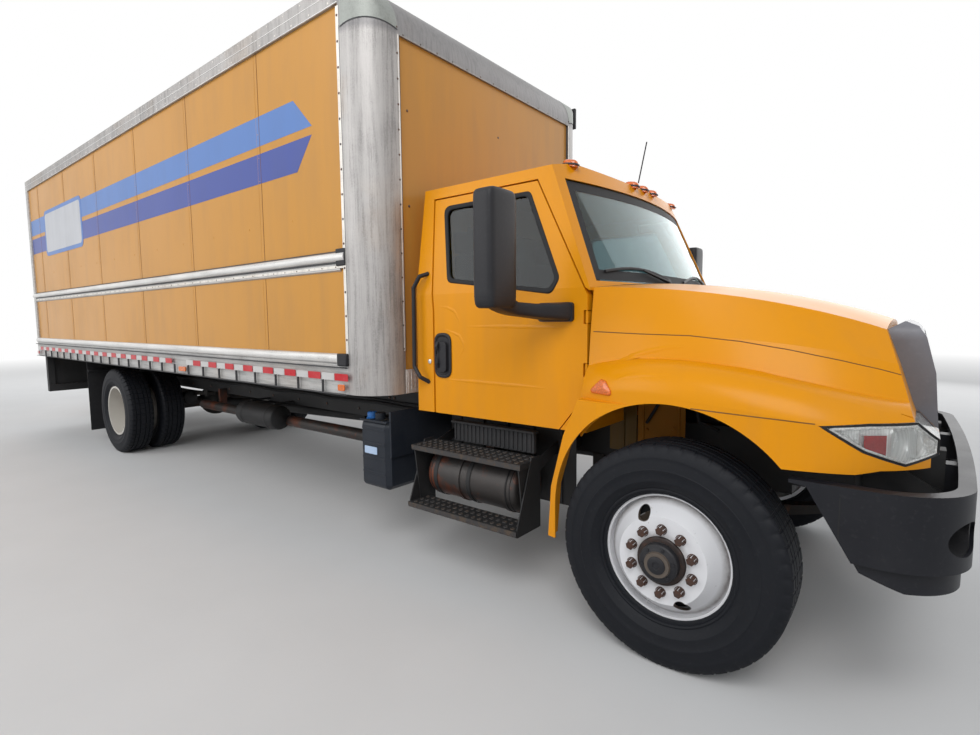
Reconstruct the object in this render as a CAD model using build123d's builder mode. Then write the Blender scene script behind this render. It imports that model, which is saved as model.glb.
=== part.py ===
from build123d import *
from math import cos, radians, sin
import os

# A two-axle box truck with a conventional cab, in millimetres.
# +X points forward, +Y to the truck's left and +Z up. The origin is on the
# ground under the middle of the whole vehicle.

# Main sizes of the vehicle
wheelbase = 6800
bumper_to_axle = 1060          # bumper face ahead of the front axle
axle_to_cab_back = 1700
cab_to_box_gap = 90
box_length = 7925
box_width = 2590
box_floor_z = 1240
box_bottom_z = 1103
box_top_z = 3677
lamp_proud = 10                # rear lamps stand proud of the rear frame

overall_length = bumper_to_axle + axle_to_cab_back + cab_to_box_gap + box_length
front_axle_x = overall_length / 2 - bumper_to_axle
rear_axle_x = front_axle_x - wheelbase
cab_back_x = front_axle_x - axle_to_cab_back
box_front_x = cab_back_x - cab_to_box_gap
box_rear_x = box_front_x - box_length
rear_face_x = box_rear_x + lamp_proud
box_half = box_width / 2

# Clearances
seat_gap = 0.3                 # between pieces that seat on each other
shaft_gap = 0.3                # round a shaft or pin
panel_gap = 10                 # between body panels
door_rear_gap = 14             # behind a door, where its edge swings out

# Wheels and tyres
tyre_radius = 515
tyre_width = 279
tread_width = 216
bead_radius = 286
rim_flange_radius = 298.5
rim_half_width = 111
rim_wall = 9
disc_outset = 168              # from the rim's middle to the bolting face
disc_thickness = 12
wheel_bore_radius = 110
stud_circle_radius = 142.9
stud_count = 10
lug_radius = 19
lug_length = 30
hand_hole_radius = 31
hand_hole_circle = 212
hand_hole_count = 2
hand_hole_turn = 115
front_track_half = 1026
rear_outer_half = 1080
dual_spacing = 2 * disc_outset + disc_thickness
axle_z = tyre_radius

# Frame
rail_top_z = 1000
rail_depth = 260
rail_flange = 90
rail_wall = 9
rail_half = 430                # outer face of the web from the middle
rail_front_x = front_axle_x + 965
rail_rear_x = rear_face_x + 120
rail_bottom_z = rail_top_z - rail_depth

# Steering
kingpin_half = 876
kingpin_radius = 22
beam_eye_height = 90
fork_thickness = 36
tie_rod_setback = 200
tie_rod_radius = 17

# Cab
cab_half = 1016
cab_floor_z = 1000
cab_floor_thickness = 60
cab_wall = 50
pillar_depth = 110
belt_z = 1745
belt_setback = 460             # windscreen base corner behind the front axle
screen_top_z = 2390
screen_top_setback = 732
screen_top_half = 921
screen_bulge = 130
cab_roof_z = 2512
glass_thickness = 8
glass_inset = 10
door_thickness = 60
door_front_setback = 470
hinge_setback = 476
hinge_half = 1008

# Hood
hood_wall = 9
arch_radius = 583
arch_z = 633
fender_half = 1190
fender_bottom_z = 1000
hood_hinge_x = front_axle_x + 935
hood_hinge_z = 800
hood_arm_y = 480
hood_arm_thickness = 20
hood_boss_radius = 32
hood_pin_radius = 13

# Box
wall_thickness = 25
rail_proud = 18                # rails stand proud of the side walls
post_radius = 230
header_radius = 290
top_rail_z = 3537
lower_rub_top_z = 1369
mid_rub_low_z = 1907
mid_rub_high_z = 2037
rear_frame_depth = 100
rear_opening_half = 1140
rear_opening_top_z = 3400

os.makedirs("parts", exist_ok=True)


def save(builder, name):
    """Label a finished piece and write it."""
    builder.part.label = name
    export_step(builder.part, f"parts/{name}.step")


def box_between(low, high, mode=Mode.ADD):
    """A block given by two opposite corners."""
    size = [b - a for a, b in zip(low, high)]
    middle = [(a + b) / 2 for a, b in zip(low, high)]
    with Locations(tuple(middle)):
        Box(*size, mode=mode)


def rod_between(start, end, radius, mode=Mode.ADD):
    """A round bar from one point to another."""
    line = Vector(*end) - Vector(*start)
    with BuildSketch(Plane(origin=start, z_dir=line)) as disc:
        Circle(radius)
    extrude(disc.sketch, amount=line.length, mode=mode)


def side_plate(points, near_y, far_y, mode=Mode.ADD):
    """A plate with an outline of (x, z) points, between two y values."""
    with BuildSketch(Plane.XZ.offset(-near_y)) as outline:
        Polygon(*points, align=None)
    extrude(outline.sketch, amount=near_y - far_y, mode=mode)


# Frame: two channel rails, joined by crossmembers.
def rail_section(side):
    """A channel with its flanges towards the middle of the truck."""
    with Locations((side * (rail_half - rail_flange / 2), rail_top_z - rail_depth / 2)):
        Rectangle(rail_flange, rail_depth)
    inner_width = rail_flange - rail_wall
    with Locations((side * (rail_half - rail_wall - inner_width / 2), rail_top_z - rail_depth / 2)):
        Rectangle(inner_width, rail_depth - 2 * rail_wall, mode=Mode.SUBTRACT)


with BuildPart() as frame_rails:
    for side in (-1, 1):
        with BuildSketch(Plane.YZ.offset(rail_rear_x)):
            rail_section(side)
        extrude(amount=rail_front_x - rail_rear_x)
        rod_between((hood_hinge_x, side * (rail_half - 2), hood_hinge_z),
                    (hood_hinge_x, side * (hood_arm_y - hood_arm_thickness / 2 - seat_gap),
                     hood_hinge_z), hood_boss_radius)
        rod_between((hood_hinge_x, side * rail_half, hood_hinge_z),
                    (hood_hinge_x, side * (hood_arm_y + hood_arm_thickness), hood_hinge_z),
                    hood_pin_radius)

crossmember_depth = 180
crossmember_width = 70
crossmember_wall = 8
crossmember_half = rail_half - rail_wall
crossmember_stations = [rail_rear_x + 60 + 1010 * step for step in range(9)]
front_crossmember_x = rail_front_x - 150
engine_support_x = front_axle_x + 320
gearbox_support_x = front_axle_x - 560

with BuildPart() as frame:
    add(frame_rails.part)
    for station in crossmember_stations:
        with BuildSketch(Plane.XZ.offset(-crossmember_half)):
            with Locations((station, rail_top_z - rail_depth / 2)):
                Rectangle(crossmember_width, crossmember_depth)
            with Locations((station + crossmember_wall, rail_top_z - rail_depth / 2)):
                Rectangle(crossmember_width, crossmember_depth - 2 * crossmember_wall,
                          mode=Mode.SUBTRACT)
        extrude(amount=2 * crossmember_half)
    with Locations((front_crossmember_x, 0, rail_top_z - rail_depth / 2)):
        Box(crossmember_width, 2 * crossmember_half, crossmember_depth)
    with Locations((engine_support_x, 0, rail_bottom_z - 25)):
        Box(120, 2 * rail_half, 50)
    box_between((gearbox_support_x - 50, -crossmember_half, rail_top_z - 50),
                (gearbox_support_x + 50, crossmember_half, rail_top_z - rail_wall))
save(frame, "frame")


# Axles
spring_half_y = rail_half - 45
spring_width = 80
spring_stack = 62
spring_reach = 700
beam_thickness = 90
beam_drop = 80
beam_top_middle_z = axle_z - beam_drop + beam_eye_height / 2


def leaf_spring(axle_x, side, seat_z, end_z):
    """A pack of leaves bowed down onto the axle, with an eye and a hanger at each end."""
    y = side * spring_half_y
    with BuildPart(mode=Mode.PRIVATE) as pack:
        with BuildSketch(Plane.XZ.offset(-(y + spring_width / 2))):
            with BuildLine():
                low = ThreePointArc((axle_x - spring_reach, end_z),
                                    (axle_x, seat_z), (axle_x + spring_reach, end_z))
                high = ThreePointArc((axle_x - spring_reach, end_z + 22),
                                     (axle_x, seat_z + spring_stack),
                                     (axle_x + spring_reach, end_z + 22))
                Line(low @ 0, high @ 0)
                Line(low @ 1, high @ 1)
            make_face()
        extrude(amount=spring_width)
        for end in (-1, 1):
            end_x = axle_x + end * spring_reach
            with BuildSketch(Plane.XZ.offset(-(y + spring_width / 2))):
                with Locations((end_x, end_z + 8)):
                    Circle(28)
            extrude(amount=spring_width)
            hanger_top = rail_bottom_z - seat_gap
            box_between((end_x - 35, y - spring_width / 2 - 12, end_z - 30),
                        (end_x + 35, y - spring_width / 2, hanger_top))
            box_between((end_x - 35, y + spring_width / 2, end_z - 30),
                        (end_x + 35, y + spring_width / 2 + 12, hanger_top))
    add(pack.part)


with BuildPart() as front_axle:
    with BuildSketch(Plane.YZ.offset(front_axle_x - beam_thickness / 2)):
        for side in (-1, 1):
            Polygon((0, axle_z - beam_drop - beam_eye_height / 2),
                    (side * 500, axle_z - beam_drop - beam_eye_height / 2),
                    (side * 760, axle_z - beam_eye_height / 2),
                    (side * kingpin_half, axle_z - beam_eye_height / 2),
                    (side * kingpin_half, axle_z + beam_eye_height / 2),
                    (side * 730, axle_z + beam_eye_height / 2),
                    (side * 480, beam_top_middle_z), (0, beam_top_middle_z), align=None)
    extrude(amount=beam_thickness)
    for face in (-1, 1):
        box_between((front_axle_x + face * (beam_thickness / 2 - 15) - 15, -470,
                     axle_z - beam_drop - 25),
                    (front_axle_x + face * (beam_thickness / 2 - 15) + 15, 470,
                     axle_z - beam_drop + 25), mode=Mode.SUBTRACT)
    for side in (-1, 1):
        with Locations((front_axle_x, side * kingpin_half, axle_z)):
            Cylinder(beam_thickness / 2 + 3, beam_eye_height)
            Cylinder(kingpin_radius + shaft_gap, beam_eye_height + 2, mode=Mode.SUBTRACT)
    for side in (-1, 1):
        box_between((front_axle_x - 70, side * spring_half_y - 45, beam_top_middle_z - 4),
                    (front_axle_x + 70, side * spring_half_y + 45, beam_top_middle_z + 64))
        leaf_spring(front_axle_x, side, beam_top_middle_z + 60, rail_bottom_z - 50)
save(front_axle, "front_axle")

rear_tube_radius = 72
rear_tube_half = 800
banjo_radius = 205
with BuildPart() as rear_axle:
    with Locations(Location((rear_axle_x, 0, axle_z), (90, 0, 0))):
        Cylinder(rear_tube_radius, 2 * rear_tube_half)
    with Locations((rear_axle_x, 0, axle_z)):
        Sphere(banjo_radius)
    with Locations(Location((rear_axle_x + banjo_radius, 0, axle_z), (0, 90, 0))):
        Cylinder(70, 160)
    for side in (-1, 1):
        box_between((rear_axle_x - 80, side * spring_half_y - 48, axle_z + 40),
                    (rear_axle_x + 80, side * spring_half_y + 48, axle_z + 118))
        leaf_spring(rear_axle_x, side, axle_z + 114, rail_bottom_z - 50)
save(rear_axle, "rear_axle")


# Engine, gearbox and drive line
radiator_x = front_axle_x + 640
engine_front_x = radiator_x - 120
engine_rear_x = front_axle_x - belt_setback + 20
engine_bottom_z = rail_bottom_z + 20
engine_top_z = 1480
engine_half = 330
with BuildPart() as engine:
    box_between((engine_rear_x, -engine_half, engine_bottom_z),
                (engine_front_x, engine_half, engine_top_z))
    box_between((engine_front_x + 45, -390, rail_top_z + 5),
                (radiator_x + 30, 390, engine_top_z))
    with Locations(Location((engine_front_x + 23, 0, 1150), (0, 90, 0))):
        Cylinder(120, 50)
save(engine, "engine")

gearbox_front_x = engine_rear_x - seat_gap
gearbox_rear_x = gearbox_front_x - 950
gearbox_radius = 165
shaft_radius = 55
shaft_front_z = 700
shaft_rear_x = rear_axle_x + banjo_radius + 88
shaft_bearing_x = crossmember_stations[6]
crossmember_bottom_z = rail_top_z - rail_depth / 2 - crossmember_depth / 2
with BuildPart() as driveline:
    with BuildSketch(Plane.YZ.offset(gearbox_rear_x)):
        with Locations((0, shaft_front_z)):
            Circle(110)
    with BuildSketch(Plane.YZ.offset(gearbox_front_x)):
        with Locations((0, rail_top_z - gearbox_radius - 60)):
            Circle(gearbox_radius)
    loft()
    rod_between((gearbox_rear_x + 5, 0, shaft_front_z), (shaft_rear_x, 0, axle_z), shaft_radius)
    box_between((shaft_bearing_x - 30, -90, 600),
                (shaft_bearing_x + 30, 90, crossmember_bottom_z - seat_gap))
save(driveline, "driveline")

# Exhaust: the treatment canister under the right step and its pipe to the rear.
canister_radius = 150
canister_y = -905
canister_z = 600
canister_front_x = front_axle_x - 900
canister_length = 700
canister_rear_x = canister_front_x - canister_length
exhaust_end_x = rear_axle_x + 900
pipe_radius = 52
with BuildPart() as exhaust:
    with Locations(Location((canister_front_x - canister_length / 2, canister_y, canister_z),
                            (0, 90, 0))):
        Cylinder(canister_radius, canister_length)
    fillet(exhaust.edges().filter_by(GeomType.CIRCLE), 35)
    for station in (0.12, 0.62):
        with Locations(Location((canister_front_x - station * canister_length, canister_y,
                                 canister_z), (0, 90, 0))):
            Cylinder(canister_radius + 7, 28)
    pipe_y = -rail_half - 120
    with BuildLine() as pipe_path:
        FilletPolyline((canister_rear_x + 5, canister_y, canister_z),
                       (canister_rear_x - 85, canister_y, canister_z),
                       (canister_rear_x - 250, pipe_y, canister_z),
                       (exhaust_end_x, pipe_y, canister_z), radius=90)
    with BuildSketch(Plane(origin=pipe_path.line @ 0, z_dir=pipe_path.line % 0)):
        Circle(pipe_radius)
    sweep(path=pipe_path.line)
    box_between((canister_front_x - 420, canister_y + canister_radius - 30, canister_z + 30),
                (canister_front_x - 360, -rail_half - seat_gap, rail_bottom_z + 60))
    box_between((exhaust_end_x + 300, pipe_y + pipe_radius - 12, canister_z + 10),
                (exhaust_end_x + 340, -rail_half - seat_gap, rail_bottom_z + 60))
save(exhaust, "exhaust")


# Steps below the doors: two grip treads on a pair of side brackets.
step_front_x = front_axle_x - 810
step_rear_x = front_axle_x - 1650
upper_step_z = 800
lower_step_z = 440
tread_thickness = 34
upper_step_y = (920, 1130)
lower_step_y = (1010, 1170)


def step_set(side):
    """Both treads and their brackets on one side."""
    for (near, far), top in ((upper_step_y, upper_step_z), (lower_step_y, lower_step_z)):
        corners = sorted((side * near, side * far))
        box_between((step_rear_x, corners[0], top - tread_thickness),
                    (step_front_x, corners[1], top))
    for station in (step_rear_x + 12, step_front_x - 20):
        outline = [(side * rail_half, rail_bottom_z + 30), (side * rail_half, rail_top_z - 60),
                   (side * upper_step_y[0], upper_step_z - 5),
                   (side * upper_step_y[1], upper_step_z - 5),
                   (side * (upper_step_y[1] - 10), upper_step_z - 60),
                   (side * (lower_step_y[0] + 70), lower_step_z - 5),
                   (side * lower_step_y[0], lower_step_z - 5),
                   (side * (upper_step_y[0] + 60), upper_step_z - 110),
                   (side * 760, rail_bottom_z + 40)]
        with BuildSketch(Plane.YZ.offset(station)) as bracket:
            Polygon(*outline, align=None)
        extrude(bracket.sketch, amount=8)


with BuildPart() as cab_steps:
    for side in (-1, 1):
        step_set(side)
save(cab_steps, "cab_steps")

# Tanks: fuel on the left, the fluid tank on the right.
tank_bottom_z = 440
tank_top_z = 980
tank_near_y = rail_half + 60
tank_far_y = 1130
fuel_tank_front_x = front_axle_x - 1900
fuel_tank_rear_x = fuel_tank_front_x - 1300
with BuildPart() as fuel_tank:
    box_between((fuel_tank_rear_x, tank_near_y, tank_bottom_z),
                (fuel_tank_front_x, tank_far_y, tank_top_z))
    fillet(fuel_tank.edges().filter_by(Axis.X), 110)
    for station in (fuel_tank_rear_x + 260, fuel_tank_front_x - 260):
        box_between((station - 30, rail_half + seat_gap, rail_bottom_z + 20),
                    (station + 30, tank_near_y + 20, rail_top_z - 60))
    with Locations((fuel_tank_front_x - 160, tank_far_y - 60, tank_top_z - 10)):
        Cylinder(55, 60)
save(fuel_tank, "fuel_tank")

fluid_tank_front_x = front_axle_x - 1860
fluid_tank_length = 290
fluid_tank_top_z = 915
fluid_tank_near_y = 780
fluid_tank_far_y = 1150
with BuildPart() as fluid_tank:
    box_between((fluid_tank_front_x - fluid_tank_length, -fluid_tank_far_y, tank_bottom_z + 10),
                (fluid_tank_front_x, -fluid_tank_near_y, fluid_tank_top_z))
    fillet(fluid_tank.edges().filter_by(Axis.X), 45)
    chamfer(fluid_tank.edges().filter_by(Axis.Y).group_by(Axis.Z)[-1], 30)
    with Locations((fluid_tank_front_x - 150, -fluid_tank_far_y + 70, fluid_tank_top_z + 15)):
        Cylinder(36, 60)
    box_between((fluid_tank_front_x - 5, -fluid_tank_far_y + 20, canister_z + 75),
                (fluid_tank_front_x + 12, -rail_half - seat_gap, rail_top_z - 15))
    box_between((fluid_tank_front_x - fluid_tank_length + 40, -fluid_tank_near_y - 10,
                 canister_z + 80),
                (fluid_tank_front_x - 40, -rail_half - seat_gap, canister_z + 160))
save(fluid_tank, "fluid_tank")


# Front bumper: a wrap-round shell with a top flange and lamp openings.
bumper_top_z = 968
bumper_low_z = 690
bumper_dam_z = 605
bumper_wall = 12
bumper_flange = 52
bumper_half = 1170
bumper_end_setback = 480       # rear end of its side, ahead of the axle
bumper_corner = 270
bumper_bow = 22
plate_hole_spacing = 177.8
plate_hole_radius = 3.5
plate_z = 800


def bumper_outline(inset):
    """The bumper seen from above, open corners to the rear."""
    front = front_axle_x + bumper_to_axle - inset
    shoulder = front - bumper_bow
    half = bumper_half - inset
    radius = bumper_corner - inset
    rear = front_axle_x + bumper_end_setback
    turn = radius * (1 - cos(radians(45)))
    with BuildLine() as plan:
        ThreePointArc((shoulder, -half + radius), (front, 0), (shoulder, half - radius))
        ThreePointArc((shoulder, half - radius), (shoulder - turn, half - turn),
                      (shoulder - radius, half))
        Line((shoulder - radius, half), (rear, half))
        Line((rear, half), (rear, -half))
        Line((rear, -half), (shoulder - radius, -half))
        ThreePointArc((shoulder - radius, -half), (shoulder - turn, -half + turn),
                      (shoulder, -half + radius))
    make_face(plan.edges())


with BuildPart() as front_bumper:
    with BuildSketch(Plane.XY.offset(bumper_low_z)):
        bumper_outline(0)
    extrude(amount=bumper_top_z - bumper_low_z)
    with BuildSketch(Plane.XY.offset(bumper_dam_z)):
        bumper_outline(28)
    extrude(amount=bumper_low_z - bumper_dam_z)
    with BuildSketch(Plane.XY.offset(bumper_low_z + bumper_wall)):
        bumper_outline(bumper_wall)
    extrude(amount=bumper_top_z - bumper_low_z - 2 * bumper_wall, mode=Mode.SUBTRACT)
    with BuildSketch(Plane.XY.offset(bumper_dam_z)):
        bumper_outline(28 + bumper_wall)
    extrude(amount=bumper_top_z - bumper_dam_z - bumper_wall, mode=Mode.SUBTRACT)
    with BuildSketch(Plane.XY.offset(bumper_low_z)):
        bumper_outline(bumper_flange)
    extrude(amount=bumper_top_z, mode=Mode.SUBTRACT)
    end_x = front_axle_x + bumper_end_setback
    side_plate([(end_x - 10, bumper_dam_z - 10), (end_x - 10, bumper_top_z - 12),
                (end_x + 60, bumper_top_z - 20), (end_x + 235, bumper_low_z - 40),
                (end_x + 400, bumper_dam_z - 10)],
               -bumper_half - 20, bumper_half + 20, mode=Mode.SUBTRACT)
    for side in (-1, 1):
        lamp_plane = Plane(origin=(front_axle_x + bumper_to_axle - 80, side * (bumper_half - 190),
                                   805), z_dir=(1, side * 0.55, 0))
        with BuildSketch(lamp_plane):
            Ellipse(62, 105, rotation=90)
        extrude(amount=160, both=True, mode=Mode.SUBTRACT)
    for side in (-1, 1):
        near = side * (rail_half - rail_flange)
        far = side * (rail_half - rail_wall - seat_gap)
        box_between((rail_front_x - 60, min(near, far), rail_top_z - 190),
                    (front_axle_x + bumper_to_axle - 14, max(near, far), rail_top_z - 60))
    for side in (-1, 1):
        plate_y = side * plate_hole_spacing / 2
        rod_between((front_axle_x + bumper_to_axle - 60, plate_y, plate_z),
                    (front_axle_x + bumper_to_axle + 5, plate_y, plate_z), plate_hole_radius,
                    mode=Mode.SUBTRACT)
save(front_bumper, "front_bumper")


# Cab: the outer form is a block below the belt and a drafted top above it, under a roof crown.
lean = (cab_half - screen_top_half) / (screen_top_z - belt_z)
rake = (screen_top_setback - belt_setback) / (screen_top_z - belt_z)
upper_base_z = belt_z - 45
crown_top_z = cab_roof_z + 60


def cab_plan(z, sides, ends):
    """The cab's outline above the belt at one height, from above."""
    rise = z - belt_z
    half = cab_half - sides - lean * max(rise, 0)
    corner = front_axle_x - belt_setback - rake * rise - ends
    rear = cab_back_x + ends
    with BuildLine() as plan:
        ThreePointArc((corner, -half), (corner + screen_bulge, 0), (corner, half))
        Line((corner, half), (rear, half))
        Line((rear, half), (rear, -half))
        Line((rear, -half), (corner, -half))
    make_face(plan.edges())


def cab_form(sides, ends, roof, floor):
    """The cab's form, drawn in from its outside by a wall at its sides, ends, roof and floor."""
    with BuildPart(mode=Mode.PRIVATE) as upper:
        for z in (belt_z, crown_top_z):
            with BuildSketch(Plane.XY.offset(z)):
                cab_plan(z, sides, ends)
        loft(ruled=True)
        with BuildSketch(Plane.XY.offset(upper_base_z)):
            cab_plan(belt_z, sides, ends)
        extrude(amount=belt_z - upper_base_z)
        front = front_axle_x - belt_setback - ends
        box_between((cab_back_x + ends, -cab_half + sides, cab_floor_z + floor),
                    (front - 10, cab_half - sides, upper_base_z))
        with BuildSketch(Plane.YZ.offset(cab_back_x - 50)):
            with BuildLine():
                wide = cab_half + 40
                edge_z = cab_roof_z - 130 - roof
                ThreePointArc((-wide, edge_z), (0, cab_roof_z - roof), (wide, edge_z))
                Line((wide, edge_z), (wide, cab_floor_z - 40))
                Line((wide, cab_floor_z - 40), (-wide, cab_floor_z - 40))
                Line((-wide, cab_floor_z - 40), (-wide, edge_z))
            make_face()
        extrude(amount=2 * axle_to_cab_back, mode=Mode.INTERSECT)
        with BuildSketch(Plane.XZ.offset(-cab_half - 50)):
            with BuildLine():
                rear = cab_back_x - 60
                nose = front_axle_x
                ThreePointArc((rear, cab_roof_z - 45 - roof),
                              (front_axle_x - 1050, cab_roof_z - roof),
                              (front_axle_x - 560, cab_roof_z - 110 - roof))
                Line((front_axle_x - 560, cab_roof_z - 110 - roof), (nose, cab_roof_z - 420 - roof))
                Line((nose, cab_roof_z - 420 - roof), (nose, cab_floor_z - 40))
                Line((nose, cab_floor_z - 40), (rear, cab_floor_z - 40))
                Line((rear, cab_floor_z - 40), (rear, cab_roof_z - 45 - roof))
            make_face()
        extrude(amount=2 * cab_half + 100, mode=Mode.INTERSECT)
    return upper.part


def door_outline(grow, grow_rear):
    """The door's outline as (x, z) points, grown by a gap on its edges."""
    front = front_axle_x - door_front_setback
    return [(front, 1208 - grow), (front - 165, cab_floor_z - grow),
            (front_axle_x - 1544 - grow_rear, cab_floor_z - grow),
            (front_axle_x - 1544 - grow_rear, 1650),
            (front_axle_x - 1600 - grow_rear, 2340 + grow),
            (front_axle_x - 830 + grow * 0.4, 2340 + grow),
            (front + grow * 0.4, belt_z - 40 + grow)]


def door_edge_room():
    """The room ahead of the door, where its front edge swings, as (x, z) points."""
    front = front_axle_x - door_front_setback
    return [(front - 20, 1190), (front + 30, 1190), (front + 30, belt_z - 15),
            (front + 10, belt_z - 15), (front - 13, belt_z), (front - 20, belt_z)]


def window_outline(shrink):
    """The side window's outline as (x, z) points, drawn in by a seal."""
    return [(front_axle_x - 690 - shrink, 1735 + shrink),
            (front_axle_x - 1425 + shrink, 1830 + shrink),
            (front_axle_x - 1500 + shrink, 2275 - shrink),
            (front_axle_x - 880 - shrink, 2275 - shrink),
            (front_axle_x - 655 - shrink, 1800 + shrink)]


outer_cab = cab_form(0, 0, 0, 0)
door_skin = outer_cab - cab_form(door_thickness, -20, -20, -20)
recess_depth = door_thickness + 7
recess_skin = outer_cab - cab_form(recess_depth, -20, -20, -20)
glass_skin = (cab_form(glass_inset, glass_inset, glass_inset, glass_inset)
              - cab_form(glass_inset + glass_thickness, glass_inset + glass_thickness,
                         glass_inset + glass_thickness, glass_inset + glass_thickness))

door_axis_x = front_axle_x - hinge_setback
door_hinges = (1290, 1560)     # the low end of each hinge's notch in the door
door_hinge_height = 70
hinge_lug = 8
door_pin_radius = 4
outboard_near = cab_half - 200
outboard_far = cab_half + 60
rear_window_half = 560
rear_window_z = (1850, 2230)


def screen_opening(shrink):
    """The windscreen's opening as (y, z) points, drawn in by a seal."""
    return [(-945 + shrink, belt_z + 35 + shrink), (945 - shrink, belt_z + 35 + shrink),
            (862 - shrink, 2345 - shrink), (-862 + shrink, 2345 - shrink)]


def front_prism(points, rear_x, front_x, mode=Mode.ADD):
    """A block with an outline of (y, z) points, between two x values."""
    with BuildSketch(Plane.YZ.offset(rear_x)) as outline:
        Polygon(*points, align=None)
    extrude(outline.sketch, amount=front_x - rear_x, mode=mode)


screen_x = (front_axle_x - 1000, front_axle_x - 100)
with BuildPart() as cab_shell:
    add(outer_cab)
    add(cab_form(pillar_depth, cab_wall, cab_wall, cab_floor_thickness), mode=Mode.SUBTRACT)
    for side in (-1, 1):
        ys = sorted((side * outboard_near, side * outboard_far))
        with BuildPart(mode=Mode.PRIVATE) as recess:
            side_plate(door_outline(panel_gap, door_rear_gap), ys[1], ys[0])
            side_plate(door_edge_room(), ys[1], ys[0])
        add(recess_skin & recess.part, mode=Mode.SUBTRACT)
        side_plate([(front_axle_x - 580, 1240), (front_axle_x - 700, cab_floor_z + 70),
                    (front_axle_x - 1490, cab_floor_z + 70), (front_axle_x - 1490, 1650),
                    (front_axle_x - 1540, 2270), (front_axle_x - 890, 2270),
                    (front_axle_x - 580, 1690)], ys[1], ys[0], mode=Mode.SUBTRACT)
    front_prism(screen_opening(0), *screen_x, mode=Mode.SUBTRACT)
    box_between((cab_back_x - 20, -rear_window_half, rear_window_z[0]),
                (cab_back_x + cab_wall + 20, rear_window_half, rear_window_z[1]),
                mode=Mode.SUBTRACT)
    for side in (-1, 1):
        for low in door_hinges:
            high = low + door_hinge_height
            ys = sorted((side * (cab_half - recess_depth - 4), side * hinge_half))
            box_between((door_axis_x - hinge_lug, ys[0], low + 5),
                        (door_axis_x + hinge_lug, ys[1], high - 5))
            rod_between((door_axis_x, side * hinge_half, low + 5),
                        (door_axis_x, side * hinge_half, high - 5), hinge_lug)
            rod_between((door_axis_x, side * hinge_half, low - 10),
                        (door_axis_x, side * hinge_half, high + 10), door_pin_radius)
save(cab_shell, "cab_shell")

with BuildPart() as cab_glass:
    with BuildPart(mode=Mode.PRIVATE) as screen_prism:
        front_prism(screen_opening(seat_gap), *screen_x)
    add(glass_skin & screen_prism.part)
    box_between((cab_back_x + 20, -rear_window_half + seat_gap, rear_window_z[0] + seat_gap),
                (cab_back_x + 20 + glass_thickness, rear_window_half - seat_gap,
                 rear_window_z[1] - seat_gap))
save(cab_glass, "cab_glass")

for side, hand in ((-1, "right"), (1, "left")):
    ys = sorted((side * outboard_near, side * outboard_far))
    with BuildPart() as door:
        with BuildPart(mode=Mode.PRIVATE) as door_prism:
            side_plate(door_outline(0, 0), ys[1], ys[0])
            side_plate(window_outline(0), ys[1], ys[0], mode=Mode.SUBTRACT)
        add(door_skin & door_prism.part)
        for low in door_hinges:
            high = low + door_hinge_height
            box_between((door_axis_x - 2 * hinge_lug, ys[0], low),
                        (door_axis_x + 2 * hinge_lug, ys[1], high), mode=Mode.SUBTRACT)
            rod_between((door_axis_x, side * hinge_half, low - 12),
                        (door_axis_x, side * hinge_half, high + 12),
                        door_pin_radius + shaft_gap, mode=Mode.SUBTRACT)
    save(door, f"door_{hand}")
    with BuildPart() as door_glass:
        with BuildPart(mode=Mode.PRIVATE) as pane_prism:
            side_plate(window_outline(seat_gap), ys[1], ys[0])
        add(glass_skin & pane_prism.part)
    save(door_glass, f"door_glass_{hand}")


# Cab interior: dashboard with its steering wheel, and the seats.
dash_rear_x = front_axle_x - 760
dash_front_x = front_axle_x - belt_setback - cab_wall - 10 - seat_gap
inner_half = cab_half - pillar_depth - 2
wheel_centre = (front_axle_x - 890, 420, 1600)
with BuildPart() as cab_interior:
    side_plate([(dash_front_x, 1300), (dash_rear_x + 60, 1300), (dash_rear_x, 1420),
                (dash_rear_x + 25, 1600), (dash_rear_x + 90, 1665), (dash_front_x, 1665)],
               inner_half, -inner_half)
    rod_between((dash_rear_x + 30, 420, 1525), wheel_centre, 32)
    wheel_plane = Plane(origin=wheel_centre, z_dir=(-0.86, 0, 0.5))
    with BuildSketch(wheel_plane):
        Circle(60)
        Rectangle(430, 36)
    extrude(amount=16, both=True)
    with BuildSketch(Plane(origin=wheel_plane.from_local_coords((222, 0, 0)),
                           x_dir=wheel_plane.x_dir, z_dir=wheel_plane.y_dir)):
        Circle(15)
    revolve(axis=Axis(wheel_centre, wheel_plane.z_dir))

seat_rear_x = cab_back_x + cab_wall + 40
seat_top_z = 1480
floor_top_z = cab_floor_z + cab_floor_thickness
seat_rows = ((420, 500), (-400, 800))     # middle and width of each seat
with BuildPart() as seats:
    for middle, width in seat_rows:
        half = width / 2
        side_plate([(seat_rear_x + 40, seat_top_z - 150), (seat_rear_x + 500, seat_top_z - 130),
                    (seat_rear_x + 520, seat_top_z - 30), (seat_rear_x + 480, seat_top_z),
                    (seat_rear_x + 180, seat_top_z - 10), (seat_rear_x + 110, seat_top_z + 560),
                    (seat_rear_x + 75, seat_top_z + 700), (seat_rear_x, seat_top_z + 700),
                    (seat_rear_x + 20, seat_top_z + 200)], middle + half, middle - half)
        box_between((seat_rear_x + 120, middle - half + 60, floor_top_z + seat_gap),
                    (seat_rear_x + 440, middle + half - 60, seat_top_z - 135))
with cab_interior:
    add(seats.part)
save(cab_interior, "cab_interior")

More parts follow.
